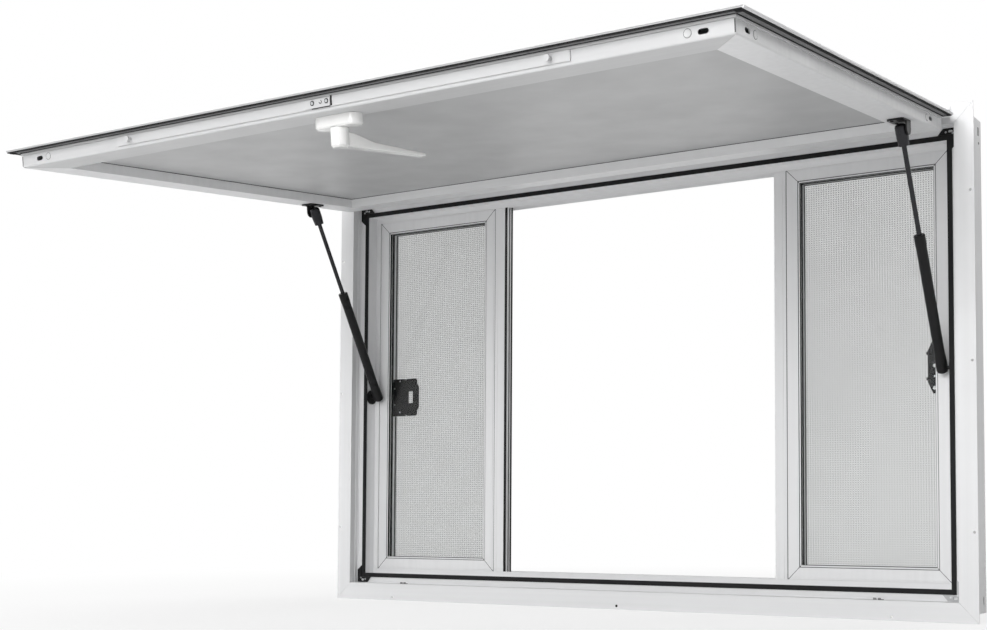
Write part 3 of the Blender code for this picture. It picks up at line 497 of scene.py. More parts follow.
def add_box(bm: BMesh, low: Triple, high: Triple, round_off: float = 0.0) -> None:
    """Adds a box to a bmesh.

    Args:
        bm: Mesh to add to.
        low: Lowest corner.
        high: Highest corner.
        round_off: Width of the edge rounding, 0 for none.
    """
    made = bmesh.ops.create_cube(bm, size=1)["verts"]
    size = Vector(high) - Vector(low)
    bmesh.ops.scale(bm, vec=size, verts=made)
    bmesh.ops.translate(bm, vec=(Vector(high) + Vector(low)) / 2, verts=made)
    if round_off:
        edges = list({edge for vert in made for edge in vert.link_edges})
        bmesh.ops.bevel(bm, geom=edges, offset=round_off, offset_type="OFFSET", segments=2,
                        profile=0.5, affect="EDGES", material=-1, clamp_overlap=True)


def add_side_box(bm: BMesh, sign: int, x: Pair, y: Pair, z: Pair, round_off: float = 0.0) -> None:
    """Adds a box on one side of the window's middle.

    Args:
        bm: Mesh to add to.
        sign: -1 for the left side, 1 for the right side.
        x: Its two distances from the middle.
        y: Its front and back.
        z: Its foot and top.
        round_off: Width of the edge rounding, 0 for none.
    """
    low_x, high_x = on_side(sign, x)
    add_box(bm, (low_x, y[0], z[0]), (high_x, y[1], z[1]), round_off)


def raise_faces(bm: BMesh, faces: list[bmesh.types.BMFace], by: Triple) -> list[bmesh.types.BMVert]:
    """Extrudes faces.

    Args:
        bm: Mesh that they belong to.
        faces: Faces to extrude.
        by: How far, and which way.

    Returns:
        The new corners.
    """
    raised = bmesh.ops.extrude_face_region(bm, geom=faces)["geom"]
    lifted = [item for item in raised if isinstance(item, bmesh.types.BMVert)]
    bmesh.ops.translate(bm, vec=by, verts=lifted)
    return lifted


def add_ring(bm: BMesh, low: Pair, high: Pair, width: float, near: float, far: float,
             open_top: bool = False) -> None:
    """Adds a mitred rectangular ring that stands in the XZ plane.

    Args:
        bm: Mesh to add to.
        low: Outer corner with the lowest X and Z.
        high: Outer corner with the highest X and Z.
        width: Width of the ring's bars.
        near: Front of the ring, along Y.
        far: Back of the ring, along Y.
        open_top: Whether the top bar is left out.
    """
    made = bmesh.ops.create_grid(bm, x_segments=1, y_segments=1, size=0.5,
                                 matrix=Matrix.Rotation(math.pi / 2, 4, "X"))["verts"]
    middle = ((low[0] + high[0]) / 2, near, (low[1] + high[1]) / 2)
    bmesh.ops.scale(bm, vec=(high[0] - low[0], 1, high[1] - low[1]), verts=made)
    bmesh.ops.translate(bm, vec=middle, verts=made)
    pane = made[0].link_faces[0]
    bars = bmesh.ops.inset_region(bm, faces=[pane], thickness=width, use_even_offset=True,
                                  use_boundary=True)["faces"]
    gone = [pane]
    if open_top:
        top = max(bars, key=lambda bar: bar.calc_center_median().z)
        bars = [bar for bar in bars if bar is not top]
        gone.append(top)
    bmesh.ops.delete(bm, geom=gone, context="FACES")
    raise_faces(bm, bars, (0, far - near, 0))


def facing(at: Triple, out: Triple) -> Matrix:
    """Gives the matrix that puts a fitting's foot at a point with its Z axis pointing out."""
    return Matrix.Translation(at) @ Vector(out).to_track_quat("Z", "Y").to_matrix().to_4x4()


class Head(Enum):
    """Round heads: their sides, taper, and steps inward and upward as shares of their size."""

    PAN = (20, 0.78, ((0.2, 0.12), (0.22, 0.0), (0.04, -0.5)))
    PLUG = (28, 0.93, ((0.18, -0.35),))


def add_head(bm: BMesh, at: Triple, out: Triple, radius: float, height: float,
             shape: Head = Head.PAN) -> None:
    """Adds the head of a screw, or a plug.

    Args:
        bm: Mesh to add to.
        at: Middle of the head's foot.
        out: Direction that the head faces.
        radius: Radius of the head.
        height: Height of the head.
        shape: Its shape, a pan head with a driver recess if none is given.
    """
    sides, taper, steps = shape.value
    made = bmesh.ops.create_cone(bm, cap_ends=True, segments=sides, radius1=radius,
                                 radius2=radius * taper, depth=height)["verts"]
    bmesh.ops.translate(bm, vec=(0, 0, height / 2), verts=made)
    faces = {face for vert in made for face in vert.link_faces}
    top = max(faces, key=lambda face: face.calc_center_median().z)
    for step, lift in steps:
        rim = bmesh.ops.inset_region(bm, faces=[top], thickness=radius * step,
                                     use_even_offset=True)["faces"]
        made = list({vert for face in rim for vert in face.verts} | set(made))
        bmesh.ops.translate(bm, vec=(0, 0, height * lift), verts=list(top.verts))
    bmesh.ops.transform(bm, matrix=facing(at, out), verts=made)


def add_washer(bm: BMesh, at: Triple, out: Triple, radius: float, width: float,
               height: float) -> None:
    """Adds a flat ring.

    Args:
        bm: Mesh to add to.
        at: Middle of its foot.
        out: Direction that it faces.
        radius: Outer radius.
        width: Width of the ring.
        height: Thickness.
    """
    made = bmesh.ops.create_circle(bm, cap_ends=True, segments=WASHER_SIDES, radius=radius)["verts"]
    disc = made[0].link_faces[0]
    ring = bmesh.ops.inset_region(bm, faces=[disc], thickness=width, use_even_offset=True,
                                  use_boundary=True)["faces"]
    bmesh.ops.delete(bm, geom=[disc], context="FACES_ONLY")
    lifted = raise_faces(bm, ring, (0, 0, height))
    verts = list({vert for face in ring if face.is_valid for vert in face.verts} | set(lifted))
    bmesh.ops.transform(bm, matrix=facing(at, out), verts=verts)


def add_turned(bm: BMesh, at: Triple, axis: Triple, outline: Pairs) -> None:
    """Adds a ring-shaped piece turned about an axis.

    Args:
        bm: Mesh to add to.
        at: Point that the outline's lengths start from.
        axis: Axis of the turning.
        outline: Closed outline, as pairs of radius and length along the axis.
    """
    corners = [bm.verts.new((radius, 0, along)) for radius, along in outline]
    ring = [bm.edges.new((corners[index - 1], corner)) for index, corner in enumerate(corners)]
    before = set(bm.verts) - set(corners)
    bmesh.ops.spin(bm, geom=corners + ring, cent=(0, 0, 0), axis=(0, 0, 1), angle=math.tau,
                   steps=TURN_STEPS, use_merge=True)
    verts = [vert for vert in bm.verts if vert not in before]
    bmesh.ops.transform(bm, matrix=facing(at, axis), verts=verts)


def add_wire_loop(bm: BMesh, at: Triple, axis: Triple, radius: float, wire: float,
                  turn: float) -> None:
    """Adds a round wire bent into an open loop.

    Args:
        bm: Mesh to add to.
        at: Middle of the loop.
        axis: Axis of the loop.
        radius: Radius of the loop.
        wire: Radius of the wire.
        turn: Angle of the bend.
    """
    made = bmesh.ops.create_circle(bm, cap_ends=True, segments=WIRE_SIDES, radius=wire,
                                   matrix=Matrix.Rotation(math.pi / 2, 4, "X"))["verts"]
    bmesh.ops.translate(bm, vec=(radius, 0, 0), verts=made)
    start = {item for vert in made for item in (vert, *vert.link_edges, *vert.link_faces)}
    before = set(bm.verts)
    bmesh.ops.spin(bm, geom=list(start), cent=(0, 0, 0), axis=(0, 0, 1), angle=turn,
                   steps=TURN_STEPS, use_merge=False)
    verts = [vert for vert in bm.verts if vert not in before or vert in start]
    bmesh.ops.transform(bm, matrix=facing(at, axis), verts=verts)


@dataclass
class Fittings:
    """Small pieces of one sub-assembly."""

    palette: Palette
    body: Body = Body.FRAME

    @contextmanager
    def piece(self, name: str, finish: str, body: Body | None = None) -> Iterator[BMesh]:
        """Opens a mesh to draw in, and adds it as a piece once it is drawn.

        Args:
            name: Name of the piece.
            finish: Name of its finish.
            body: CAD body that it rides on, the sub-assembly's own if none is given.

        Yields:
            The mesh.
        """
        bm = bmesh.new()
        yield bm
        add_piece(name, bm, finish, body or self.body, self.palette)


@dataclass
class Screens(Fittings):
    """Fine insect screens: crossing wires, bonded at a wider grid of points."""

    pitch: Pair = mm(1.2, 1.0)
    wire: float = 0.22 * MM
    knot_pitch: Pair = mm(4.8, 4.0)
    knot_half: Pair = mm(0.95, 0.75)
    knot_half_wires: float = 1.4
    seat: float = 2 * MM

    def weave(self, bm: BMesh, low: Vector, high: Vector) -> None:
        """Lays the upright wires and the level wires.

        Args:
            bm: Mesh to add to.
            low: Lowest corner of the CAD node.
            high: Highest corner of the CAD node.
        """
        middle = (low.y + high.y) / 2
        half = self.wire / 2
        for axis, pitch, depth in ((0, self.pitch[0], -half), (2, self.pitch[1], half)):
            first, last = low[axis] + self.seat, high[axis] - self.seat
            count = round((last - first) / pitch)
            for index in range(count + 1):
                spot = first + (last - first) * index / count
                start, end = Vector(low), Vector(high)
                start[axis], end[axis] = spot - half, spot + half
                start.y, end.y = middle + depth - half, middle + depth + half
                add_box(bm, start, end)

    def bond(self, bm: BMesh, low: Vector, high: Vector) -> None:
        """Adds the bonded points, a row at a time.

        Args:
            bm: Mesh to add to.
            low: Lowest corner of the CAD node.
            high: Highest corner of the CAD node.
        """
        front = (low.y + high.y) / 2 - self.knot_half_wires * self.wire
        back = front + 2 * self.knot_half_wires * self.wire
        across = round((high.x - low.x - 2 * self.seat) / self.knot_pitch[0])
        rows = round((high.z - low.z - 2 * self.seat) / self.knot_pitch[1])
        row = bmesh.new()
        for index in range(across):
            x = low.x + self.seat + self.knot_pitch[0] * (index + 0.5)
            add_box(row, (x - self.knot_half[0], front, -self.knot_half[1]),
                    (x + self.knot_half[0], back, self.knot_half[1]))
        strip = bpy.data.meshes.new("bond_row")
        row.to_mesh(strip)
        row.free()
        for index in range(rows):
            before = len(bm.verts)
            bm.from_mesh(strip)
            bm.verts.ensure_lookup_table()
            height = low.z + self.seat + self.knot_pitch[1] * (index + 0.5)
            bmesh.ops.translate(bm, vec=(0, 0, height), verts=bm.verts[before:])
        bpy.data.meshes.remove(strip)

    def build(self) -> None:
        """Builds each screen in place of its CAD node."""
        for side in SIDES:
            low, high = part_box(f"screen_mesh_{side}")
            bm = bmesh.new()
            self.weave(bm, low, high)
            self.bond(bm, low, high)
            piece = add_piece(f"screen_weave_{side}", bm, "screen_wire", self.body, self.palette,
                              smooth=False)
            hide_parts(f"screen_mesh_{side}")


@dataclass
class Glazing(Fittings):
    """Rubber round the panes, splines round the screens, painted shade in the sash joints, and stile piles.
    """

    pane_x: Pair = mm(351.6, 602.7)
    pane_z: Pair = mm(76.8, 768.2)
    linings: Pairs = (mm(55.1, 59.0), mm(63.6, 69.4))
    lining_t: float = 0.5 * MM
    spline: Pair = mm(76.0, 79.8)
    edge_x: float = 301.4 * MM
    pile_reach: Pair = mm(0.2, -0.35)
    pile_round: float = 0.15 * MM
    piles: Pairs = (mm(55.2, 63.4), mm(70.2, 73.2), mm(76.8, 82.2))
    pile_z: Pair = mm(45, 800)
    sash_x: Pair = mm(318.6, 635.7)
    sash_z: Pair = mm(43.8, 801.2)
    sash_front: float = 54.6 * MM
    gap: float = 0.9 * MM
    gap_proud: float = 0.1 * MM
    mitre_short: float = 0.5 * MM
    mitre_deep: float = 2.2 * MM
    # Distance in from the sash's edge or the pane, and depth behind the front.
    groove: Pair = mm(6, 0.5)
    seam: Pair = mm(4, 1.1)
    line_gaps: float = 1.4
    line_deep: float = 0.6 * MM

    def add_gaps(self, bm: BMesh, low_x: float, high_x: float) -> None:
        """Adds strips of painted shade in the joints of one sash: its mitres, its groove and the seam by
        the pane.

        Args:
            bm: Mesh to add to.
            low_x: Lower outer edge of the mitred frame.
            high_x: Higher outer edge of the mitred frame.
        """
        bar = self.pane_z[0] - self.sash_z[0]
        front = self.sash_front - self.gap_proud
        half = bar * math.sqrt(0.5) - self.mitre_short
        for x, way in ((low_x, 1), (high_x, -1)):
            for z, up in ((self.sash_z[0], 1), (self.sash_z[1], -1)):
                before = len(bm.verts)
                add_box(bm, (-half, front, -self.gap / 2), (half, front + self.mitre_deep, self.gap / 2))
                bm.verts.ensure_lookup_table()
                tilt = Matrix.Rotation(-way * up * math.pi / 4, 4, "Y")
                place = Matrix.Translation((x + way * bar / 2, 0, z + up * bar / 2)) @ tilt
                bmesh.ops.transform(bm, matrix=place, verts=bm.verts[before:])
        for inward, depth in (self.groove, (bar - self.seam[0], self.seam[1])):
            low = (low_x + inward, self.sash_z[0] + inward)
            high = (high_x - inward, self.sash_z[1] - inward)
            near = front + depth
            add_ring(bm, low, high, self.line_gaps * self.gap, near, near + self.line_deep)

    def build(self) -> None:
        """Builds the seals, the lines of painted shade and the piles of both sides."""
        for side, sign in SIDES.items():
            low_x, high_x = on_side(sign, self.pane_x)
            low, high = (low_x, self.pane_z[0]), (high_x, self.pane_z[1])
            with self.piece(f"pane_rubber_{side}", "rubber") as bm:
                for near, far in self.linings:
                    add_ring(bm, low, high, self.lining_t, near, far)
            with self.piece(f"screen_spline_{side}", "rubber") as bm:
                add_ring(bm, low, high, self.lining_t, *self.spline)
            with self.piece(f"sash_joints_{side}", "joint_shadow") as bm:
                self.add_gaps(bm, *on_side(sign, self.sash_x))
            with self.piece(f"stile_pile_{side}", "rubber") as bm:
                for span in self.piles:
                    add_side_box(bm, sign, steps_from(self.edge_x, self.pile_reach), span, self.pile_z,
                                 self.pile_round)


@dataclass
class AwningEdge(Fittings):
    """Painted shade band under the edge flange, its rubber lip, and rim beads that run round the free edges
    of the awning.
    """

    body: Body = Body.AWNING
    half_w: float = 661.6 * MM
    long: float = 815.5 * MM
    top: float = 14 * MM
    shade_band: Pair = mm(7, 16.5)
    shade_band_n: Pair = mm(3.45, 4.6)
    ridges: tuple[float, ...] = mm(10.0, 13.2)
    # Width and height of each ridge on the shade band, and of its lip.
    ridge: Pair = mm(0.8, 0.5)
    lip: Pair = mm(1.2, 0.8)
    bead: Pair = mm(1.3, -1.9)
    bead_n: Pair = mm(0.9, 4.4)
    bead_foot: float = 1.5 * MM
    bead_round: float = 0.5 * MM
    block_x: Pair = mm(-4, -13)
    block_z: Pair = mm(4, 13)
    block_n: Pair = mm(3.6, 6.2)
    block_round: float = 0.9 * MM

    def ring(self, bm: BMesh, inward: float, width: float, n: Pair) -> None:
        """Adds a three-sided ring that follows the awning's edge.

        Args:
            bm: Mesh to add to.
            inward: Its distance inward of the edge.
            width: Its width.
            n: Its two heights behind the outer face.
        """
        edge = self.half_w - inward
        add_ring(bm, (-edge, -self.long + inward), (edge, -self.top + width), width, *n, open_top=True)

    def build(self) -> None:
        """Builds the painted shade band, its lip, the beads and the corner blocks."""
        back = self.shade_band_n[1]
        # A dark grey ridged band under the edge flange: painted shade of the flange's underside.
        with self.piece("awning_shade_band", "grey_painted_shade") as bm:
            self.ring(bm, self.shade_band[0], self.shade_band[1] - self.shade_band[0], self.shade_band_n)
            for spot in self.ridges:
                self.ring(bm, spot, self.ridge[0], (back, back + self.ridge[1]))
        with self.piece("awning_apron_lip", "rubber") as bm:
            self.ring(bm, self.shade_band[1] - self.lip[0], self.lip[0], (back, back + self.lip[1]))
        for side, sign in SIDES.items():
            with self.piece(f"awning_bead_{side}", "aluminium_down") as bm:
                add_side_box(bm, sign, steps_from(self.half_w, self.bead), self.bead_n,
                             (-self.long + self.bead_foot, -self.top), self.bead_round)
            with self.piece(f"awning_corner_block_{side}", "rubber") as bm:
                add_side_box(bm, sign, steps_from(self.half_w, self.block_x), self.block_n,
                             steps_from(-self.long, self.block_z), self.block_round)


@dataclass
class AwningJoints(Fittings):
    """Painted shade in the joints of the awning's bars, at corner seams and bar grooves, and sealant at the
    panel's edge.
    """

    body: Body = Body.AWNING
    corner_in: Pair = mm(-0.3, -2.1)
    corner_n: Pair = mm(10.2, 26.4)
    corner_line: Pair = mm(-0.12, 0.3)
    panel_x: float = 593.6 * MM
    panel_top: float = 69.1 * MM
    panel_foot: float = 747.5 * MM
    panel_n: float = 10.7 * MM
    # Width and height of the bead of sealant.
    sealant: Pair = mm(1.2, 1.8)
    back_n: float = 27.9 * MM
    groove_n: Pair = mm(-0.3, 0.1)
    groove_in: float = 18 * MM
    groove_ends: Pair = mm(32, 34)
    gap: float = 0.7 * MM

    def build(self) -> None:
        """Builds the sealant and the lines of painted shade."""
        with self.piece("panel_sealant", "rubber") as bm:
            add_ring(bm, (-self.panel_x, -self.panel_foot), (self.panel_x, -self.panel_top),
                     self.sealant[0], self.panel_n, self.panel_n + self.sealant[1])
        groove = self.panel_x + self.groove_in
        for side, sign in SIDES.items():
            with self.piece(f"awning_joints_{side}", "joint_shadow") as bm:
                add_side_box(bm, sign, steps_from(BAR_SIDE, self.corner_in), self.corner_n,
                             steps_from(-BAR_FOOT, self.corner_line))
                add_side_box(bm, sign, (groove, groove + self.gap), steps_from(self.back_n, self.groove_n),
                             (-BAR_FOOT + self.groove_ends[0], -self.panel_top + self.groove_ends[1]))


@dataclass
class Plugs(Fittings):
    """Push-in plugs that close the assembly holes of the bars."""

    body: Body = Body.AWNING
    radius: float = 5.2 * MM
    height: float = 0.5 * MM
    outline: float = 0.45 * MM
    outline_height: float = 0.2 * MM
    foot_x: float = 580 * MM
    foot_n: float = 17.2 * MM
    side_down: Pair = mm(96, 745)
    side_n: float = 19 * MM

    def build(self) -> None:
        """Builds the plugs with a ring of painted shade in the gap round each."""
        spots = {}
        for side, sign in SIDES.items():
            spots[f"foot_{side}"] = ((sign * self.foot_x, self.foot_n, -BAR_FOOT), DOWN)
            for name, down in zip(("high", "low"), self.side_down):
                spots[f"{name}_{side}"] = ((sign * BAR_SIDE, self.side_n, -down), (sign, 0, 0))
        for name, (at, out) in spots.items():
            # Plugs on the foot bar take its darker copy of the aluminium, painted shade.
            finish = "aluminium_foot_painted_shade" if name.startswith("foot") else "aluminium_down"
            with self.piece(f"plug_{name}", finish) as bm:
                add_head(bm, at, out, self.radius, self.height, Head.PLUG)
            with self.piece(f"plug_gap_{name}", "joint_shadow") as bm:
                add_washer(bm, at, out, self.radius + self.outline, self.outline, self.outline_height)


@dataclass
class LockFittings(Fittings):
    """Screws, washers, clip and seals of the drive plate that the handle moves."""

    body: Body = Body.LOCK_BAR
    screws_x: Pair = mm(-12, 14)
    screw: Pair = mm(2.6, 1.1)
    washer: Triple = mm(3.5, 1.2, 0.3)
    clip_x: float = 3 * MM
    clip_proud: float = 0.1 * MM
    clip: Pair = mm(2.2, 0.4)
    clip_turn: float = math.radians(250)
    plate_x: Pair = mm(-14, 20)
    plate_n: float = 15.6 * MM
    plate_span: Pair = mm(-7, 7)
    face_down: float = 802.1 * MM
    # Near and far side of each seal, then how far it stays behind the plate's face.
    end_seal: Triple = mm(0.2, 2.8, 1.0)
    side_seal: Triple = mm(0.1, 1.1, 0.6)
    seal_back: float = 1.8 * MM
    seal_round: float = 0.3 * MM

    def build(self) -> None:
        """Builds the fittings."""
        face = -self.face_down
        with self.piece("drive_plate_screws", "screw_zinc") as bm:
            for spot in self.screws_x:
                add_head(bm, (spot, self.plate_n, face), DOWN, *self.screw)
        with self.piece("drive_plate_washers", "steel_black") as bm:
            for spot in self.screws_x:
                add_washer(bm, (spot, self.plate_n, face), DOWN, *self.washer)
        with self.piece("drive_plate_clip", "steel_black") as bm:
            add_wire_loop(bm, (self.clip_x, self.plate_n, face - self.clip_proud), DOWN, *self.clip,
                          self.clip_turn)
        with self.piece("drive_plate_seal", "rubber") as bm:
            low_n, high_n = steps_from(self.plate_n, self.plate_span)
            left, right = self.plate_x
            back = face + self.seal_back
            near, far, behind = self.end_seal
            add_box(bm, (right + near, low_n, face + behind), (right + far, high_n, back), self.seal_round)
            near, far, behind = self.side_seal
            add_box(bm, (left, high_n + near, face + behind), (right, high_n + far, back), self.seal_round)


@dataclass
class StrutFittings(Fittings):
    """Spring clips, cylinder caps and fixing screws of the gas struts."""

    strut_x: float = 619.2 * MM
    upper_ball: Pair = mm(43, 150.6)
    lower_ball: Pair = mm(38.4, 416.5)
    clip: Pair = mm(9.9, 0.7)
    clip_in: float = 1.5 * MM
    clip_turn: float = math.radians(300)
    cap: Pairs = (mm(4.4, 236.5), mm(8.6, 236.5), mm(9.5, 235.4), mm(9.5, 217.0),
                  mm(9.1, 216.2), mm(8.7, 216.2), mm(8.7, 230.0), mm(4.4, 230.0))
    plate_x: float = 635.4 * MM
    plate_screws: Pairs = (mm(31.0, 423.4), mm(31.0, 408.0), mm(43.7, 406.5), mm(41.6, 427.6))
    plate_screw: Pair = mm(1.9, 0.9)
    foot_screws: Pairs = (mm(-8, -20), mm(3, -20), mm(-9, 5))
    foot_screw: Pair = mm(3.2, 1.4)
    foot_n: float = 31.7 * MM

    def build(self) -> None:
        """Builds the fittings of both struts."""
        for side, sign in SIDES.items():
            rod, cylinder = Body(f"strut_rod_{side}"), Body(f"strut_cylinder_{side}")
            x = sign * self.strut_x
            high = AWNING_PLACE @ Vector((x, self.upper_ball[0], -self.upper_ball[1]))
            low = Vector((x, *self.lower_ball))
            run = (high - low).normalized()
            for name, ball, body, inward in (("upper", high, rod, -run), ("lower", low, cylinder, run)):
                with self.piece(f"socket_clip_{name}_{side}", "steel_black", body) as bm:
                    add_wire_loop(bm, ball + inward * self.clip_in, (1, 0, 0), *self.clip, self.clip_turn)
            with self.piece(f"cylinder_cap_{side}", "steel_black", cylinder) as bm:
                add_turned(bm, low, run, self.cap)
            with self.piece(f"plate_screws_{side}", "steel_black") as bm:
                for y, z in self.plate_screws:
                    add_head(bm, (sign * self.plate_x, y, z), (-sign, 0, 0), *self.plate_screw)
            with self.piece(f"foot_screws_{side}", "steel_black", Body.AWNING) as bm:
                for across, up in self.foot_screws:
                    spot = (x + sign * across, self.foot_n, -self.upper_ball[1] + up)
                    add_head(bm, spot, TO_BACK, *self.foot_screw)


@dataclass
class LatchFittings(Fittings):
    """Screws of the screen latch, and the roller, ring and screw of the keeper."""

    bar_x: float = 602.4 * MM
    bottom: float = 376.5 * MM
    front: float = 70 * MM
    latch_screws: Pairs = (mm(3.7, 24.4), mm(3.7, 59.2), mm(18, 7.8), mm(18, 74.4))
    latch_screw: Pair = mm(1.7, 0.7)
    keeper_in: float = 6 * MM
    roller_up: float = 48 * MM
    roller_back: float = 1 * MM
    roller: Pair = mm(3.1, 2)
    ring_up: float = 9.4 * MM
    ring: Triple = mm(3.2, 1.0, 0.4)
    keeper_screw_up: float = 29.7 * MM
    keeper_screw: Pair = mm(1.6, 0.7)

    def build(self) -> None:
        """Builds the fittings."""
        with self.piece("latch_screws", "screw_zinc") as bm:
            for inward, up in self.latch_screws:
                spot = (-self.bar_x + inward, self.front, self.bottom + up)
                add_head(bm, spot, TO_FRONT, *self.latch_screw)
        x = self.bar_x - self.keeper_in
        with self.piece("keeper_roller", "white_moulded") as bm:
            add_head(bm, (x, self.front + self.roller_back, self.bottom + self.roller_up), TO_FRONT,
                     *self.roller, Head.PLUG)
        with self.piece("keeper_screws", "screw_zinc") as bm:
            add_washer(bm, (x, self.front, self.bottom + self.ring_up), TO_FRONT, *self.ring)
            add_head(bm, (x, self.front, self.bottom + self.keeper_screw_up), TO_FRONT, *self.keeper_screw)


@dataclass
class FrameFittings(Fittings):
    """Corner key studs, jamb slots, painted shade at the weep slots, and the two middle screw holes drawn
    as painted shade.
    """

    front: float = -2 * MM
    recess: float = 22.3 * MM
    key_x: float = 656.1 * MM
    key_z: Pair = mm(23.4, 821.6)
    studs: Pairs = (mm(9, 9), mm(21, 6.5))
    stud: Pair = mm(1.9, 0.7)
    hole_z: Pair = mm(-4, 849)
    hole_rim: Triple = mm(3.4, 0.7, 0.25)
    hole: Pair = mm(2.5, 0.12)
    outer_x: float = 677 * MM
    slot_reach: Pair = mm(-0.4, 0.15)
    slot_y: Pair = mm(66.8, 71.8)
    slot_z: Pair = mm(814.6, 829.1)
    slot_round: float = 0.12 * MM
    pin_yz: Pair = mm(71.6, 802.2)
    pin: Pair = mm(2.2, 0.15)
    weep_start: Pair = mm(-530, 503)
    # Start, end and height of each grey patch of painted shade at a weep slot.
    weep_parts: tuple[Triple, ...] = (mm(0, 6, 4.2), mm(8.5, 14, 4.2), mm(14, 19, 2.2))
    weep_y: Pair = mm(9.8, 11.2)
    weep_z: float = 22.15 * MM
    weep_round: float = 0.2 * MM

    def build(self) -> None:
        """Builds the fittings."""
        for side, sign in SIDES.items():
            for level, z, up in (("bottom", self.key_z[0], 1), ("top", self.key_z[1], -1)):
                with self.piece(f"key_studs_{level}_{side}", "screw_zinc") as bm:
                    for inward, lift in self.studs:
                        spot = (sign * (self.key_x - inward), self.recess, z + up * lift)
                        add_head(bm, spot, TO_FRONT, *self.stud)
            with self.piece(f"jamb_slot_{side}", "rubber") as bm:
                add_side_box(bm, sign, steps_from(self.outer_x, self.slot_reach), self.slot_y,
                             self.slot_z, self.slot_round)
                add_head(bm, (sign * self.outer_x, *self.pin_yz), (sign, 0, 0), *self.pin, Head.PLUG)
        # Grey patches at the weep slots: painted shade.
        for side, start in zip(SIDES, self.weep_start):
            with self.piece(f"weep_slot_shade_{side}", "grey_painted_shade") as bm:
                for near, far, high in self.weep_parts:
                    add_box(bm, (start + near, self.weep_y[0], self.weep_z),
                            (start + far, self.weep_y[1], self.weep_z + high), self.weep_round)
        with self.piece("middle_hole_rims", "aluminium_across") as bm:
            for z in self.hole_z:
                add_washer(bm, (0, self.front, z), TO_FRONT, *self.hole_rim)
        # The holes are not cut: a dark disc in each stands for the shade inside, painted shade.
        with self.piece("middle_hole_painted_shade", "rubber") as bm:
            for z in self.hole_z:
                add_head(bm, (0, self.front, z), TO_FRONT, *self.hole, Head.PLUG)


@dataclass
class HandleFittings(Fittings):
    """Shadow gap under the hub of the lever."""

    body: Body = Body.HANDLE
    down: float = 762 * MM
    foot_n: float = 45.8 * MM
    sunk: float = 0.35 * MM
    ring: Triple = mm(13.2, 2, 0.4)

    def build(self) -> None:
        """Builds the gap ring."""
        with self.piece("handle_gap", "grey_painted_shade") as bm:
            add_washer(bm, (0, self.foot_n - self.sunk, -self.down), TO_BACK, *self.ring)


# Finishes for the CAD nodes, by the start of a node's name. The first one that fits counts.
FINISH_BY_START: dict[str, str] = {
    "frame_jamb": "aluminium_upright", "frame_gasket": "rubber", "frame_": "aluminium_across",
    "hinge_": "aluminium_across", "sash_": "aluminium_upright", "glass_": "clear_glass",
    "screen_frame": "aluminium_upright", "screen_stile": "aluminium_upright",
    "screen_mesh": "screen_wire", "screen_": "steel_black",
    # The foot bar and the lock bar take a darker copy of the aluminium: painted shade.
    "awning_head": "aluminium_across", "awning_foot": "aluminium_foot_painted_shade", "lock_bar": "aluminium_foot_painted_shade",
    "awning_bar": "aluminium_down", "awning_liner": "panel_sheet",
    "awning_skin": "skin_paint", "awning_seal": "rubber",
    "strut_rod": "rod_nitrided", "strut_": "steel_black", "handle_": "white_moulded",
    # The corner keys are one part: the bottom right one is painted lit grey and the others shaded black.
    "corner_key_bottom_right": "key_painted_lit", "corner_key_": "steel_black",
}


def dress(palette: Palette) -> None:
    """Gives every CAD node its finish.

    Args:
        palette: The finishes.
    """
    for name, node in frame["nodes"].items():
        finish = next(finish for start, finish in FINISH_BY_START.items() if name.startswith(start))
        node.data.materials.clear()
        node.data.materials.append(palette.material[finish])
        LOG.info("%s dressed", name)


# Studio


@dataclass(frozen=True)
class Lamp:
    """A soft round lamp: where it stands, how wide and strong it is, and where it aims."""

    name: str
    at: Triple
    size: float
    watts: float
    aim: Triple = (0, -0.2, 0.4)


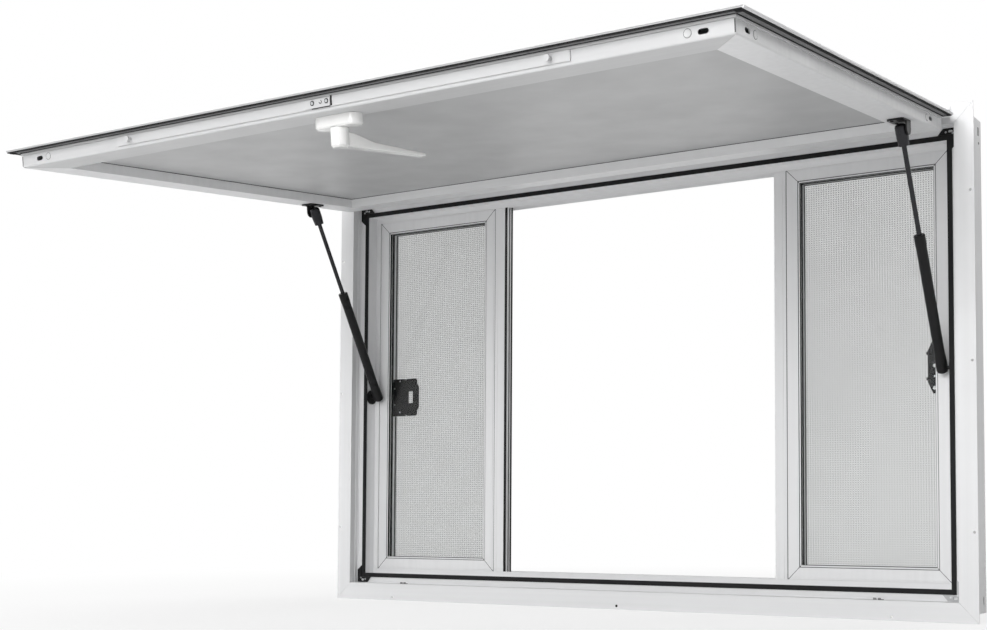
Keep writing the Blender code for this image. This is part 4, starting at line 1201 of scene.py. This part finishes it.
@dataclass
class Studio:
    """White floor, soft lamps and the camera at the photograph's angle."""

    camera_at: Triple = (1.338, -2.2278, 0.1758)
    camera_pitch: float = math.radians(92.972)
    camera_turn: float = math.radians(29.359)
    lens: float = 50.249
    sensor_width: float = 36.0
    shift: Pair = (-0.165, 0.125)
    # Strength of the white surround as a lamp, and as it is seen.
    world_light: Pair = (0.1, 1.0)
    floor_half: float = 14.0
    floor_drop: float = 0.5 * MM
    floor_tone: float = 0.93
    floor_roughness: float = 0.7
    # Distances between which the seen floor fades to white, and its share of white at the first.
    fade_reach: Pair = (0.4, 2.2)
    fade_start: float = 0.72
    lamps: tuple[Lamp, ...] = (
        Lamp("key_lamp", (-1.6, -3.0, 3.2), 2.6, 16.0),
        Lamp("front_lamp", (0.55, -4.0, 1.7), 2.4, 88.0),
        Lamp("left_lamp", (-4.3, -1.9, 0.5), 2.0, 30.0),
        Lamp("top_lamp", (0.0, -0.6, 4.0), 2.4, 64.0),
        Lamp("under_lamp", (0.2, -2.4, 0.12), 1.6, 4.0),
        Lamp("back_lamp", (2.4, 3.4, 3.2), 2.4, 45.0),
    )

    def build(self) -> None:
        """Builds the camera, lamps, world and floor."""
        scene = bpy.context.scene
        scene.view_settings.view_transform = "Standard"
        lens = bpy.data.cameras.new("photo_camera")
        lens.lens, lens.sensor_width = self.lens, self.sensor_width
        lens.shift_x, lens.shift_y = self.shift
        camera = bpy.data.objects.new("photo_camera", lens)
        camera.location = self.camera_at
        camera.rotation_euler = (self.camera_pitch, 0, self.camera_turn)
        scene.collection.objects.link(camera)
        scene.camera = camera
        for spec in self.lamps:
            lamp = bpy.data.lights.new(spec.name, "AREA")
            lamp.shape, lamp.size, lamp.energy = "DISK", spec.size, spec.watts
            holder = bpy.data.objects.new(spec.name, lamp)
            holder.location = spec.at
            aim = Vector(spec.aim) - Vector(spec.at)
            holder.rotation_euler = aim.to_track_quat("-Z", "Y").to_euler()
            scene.collection.objects.link(holder)
        self.build_world()
        self.build_floor()

    @staticmethod
    def seen_white(board: NodeBoard) -> Socket:
        """Adds the share of rays that should see a plain white surround.

        Args:
            board: Node board of the world or the floor.

        Returns:
            1 for camera, glossy and transmission rays, otherwise 0.
        """
        path = board.add("LightPath")
        seen = board.maths("MAXIMUM", path.outputs["Is Camera Ray"], path.outputs["Is Glossy Ray"])
        return board.maths("MAXIMUM", seen, path.outputs["Is Transmission Ray"])

    def build_world(self) -> None:
        """Builds the world: white to look at, softer as a lamp."""
        world = bpy.data.worlds.new("studio")
        world.use_nodes = True
        bpy.context.scene.world = world
        board = NodeBoard(world.node_tree)
        strength = board.add("MapRange", {"Value": self.seen_white(board), "To Min": self.world_light[0],
                                          "To Max": self.world_light[1]})
        board.feed(board.tree.nodes["Background"], {
            "Color": (1, 1, 1, 1), "Strength": strength.outputs["Result"]})

    def build_floor(self) -> None:
        """Builds the floor, which keeps shadows near the window and fades to white."""
        material, board, shader = new_material("studio_floor")
        board.feed(shader, {"Base Color": (self.floor_tone, self.floor_tone, self.floor_tone, 1),
                            "Roughness": self.floor_roughness})
        glow = board.add("Emission")
        place = board.add("TexCoord").outputs["Object"]
        reach = board.add("VectorMath", {0: place}, operation="LENGTH")
        fade = board.add("MapRange", {"Value": reach.outputs["Value"], "From Min": self.fade_reach[0],
                                      "From Max": self.fade_reach[1], "To Min": self.fade_start},
                         interpolation_type="SMOOTHSTEP")
        share = board.maths("MULTIPLY", fade.outputs["Result"], self.seen_white(board))
        mix = board.add("MixShader", {
            "Fac": share, 1: shader.outputs["BSDF"], 2: glow.outputs["Emission"]})
        board.feed(board.tree.nodes["Material Output"], {"Surface": mix.outputs["Shader"]})
        bm = bmesh.new()
        bmesh.ops.create_grid(bm, x_segments=1, y_segments=1, size=self.floor_half)
        bmesh.ops.translate(bm, vec=(0, 0, cad_box[0].z - self.floor_drop), verts=bm.verts)
        mesh = bpy.data.meshes.new("studio_floor")
        bm.to_mesh(mesh)
        bm.free()
        mesh.materials.append(material)
        floor = bpy.data.objects.new("studio_floor", mesh)
        bpy.context.scene.collection.objects.link(floor)


def main() -> None:
    """Builds the studio, the finishes and the pieces in order."""
    logging.basicConfig(level=logging.INFO, format="%(message)s")
    Studio().build()
    palette = Palette()
    dress(palette)
    for fittings in (Screens, Glazing, AwningEdge, AwningJoints, Plugs, LockFittings, StrutFittings,
                     LatchFittings, FrameFittings, HandleFittings):
        fittings(palette).build()


if __name__ == "__main__":
    main()
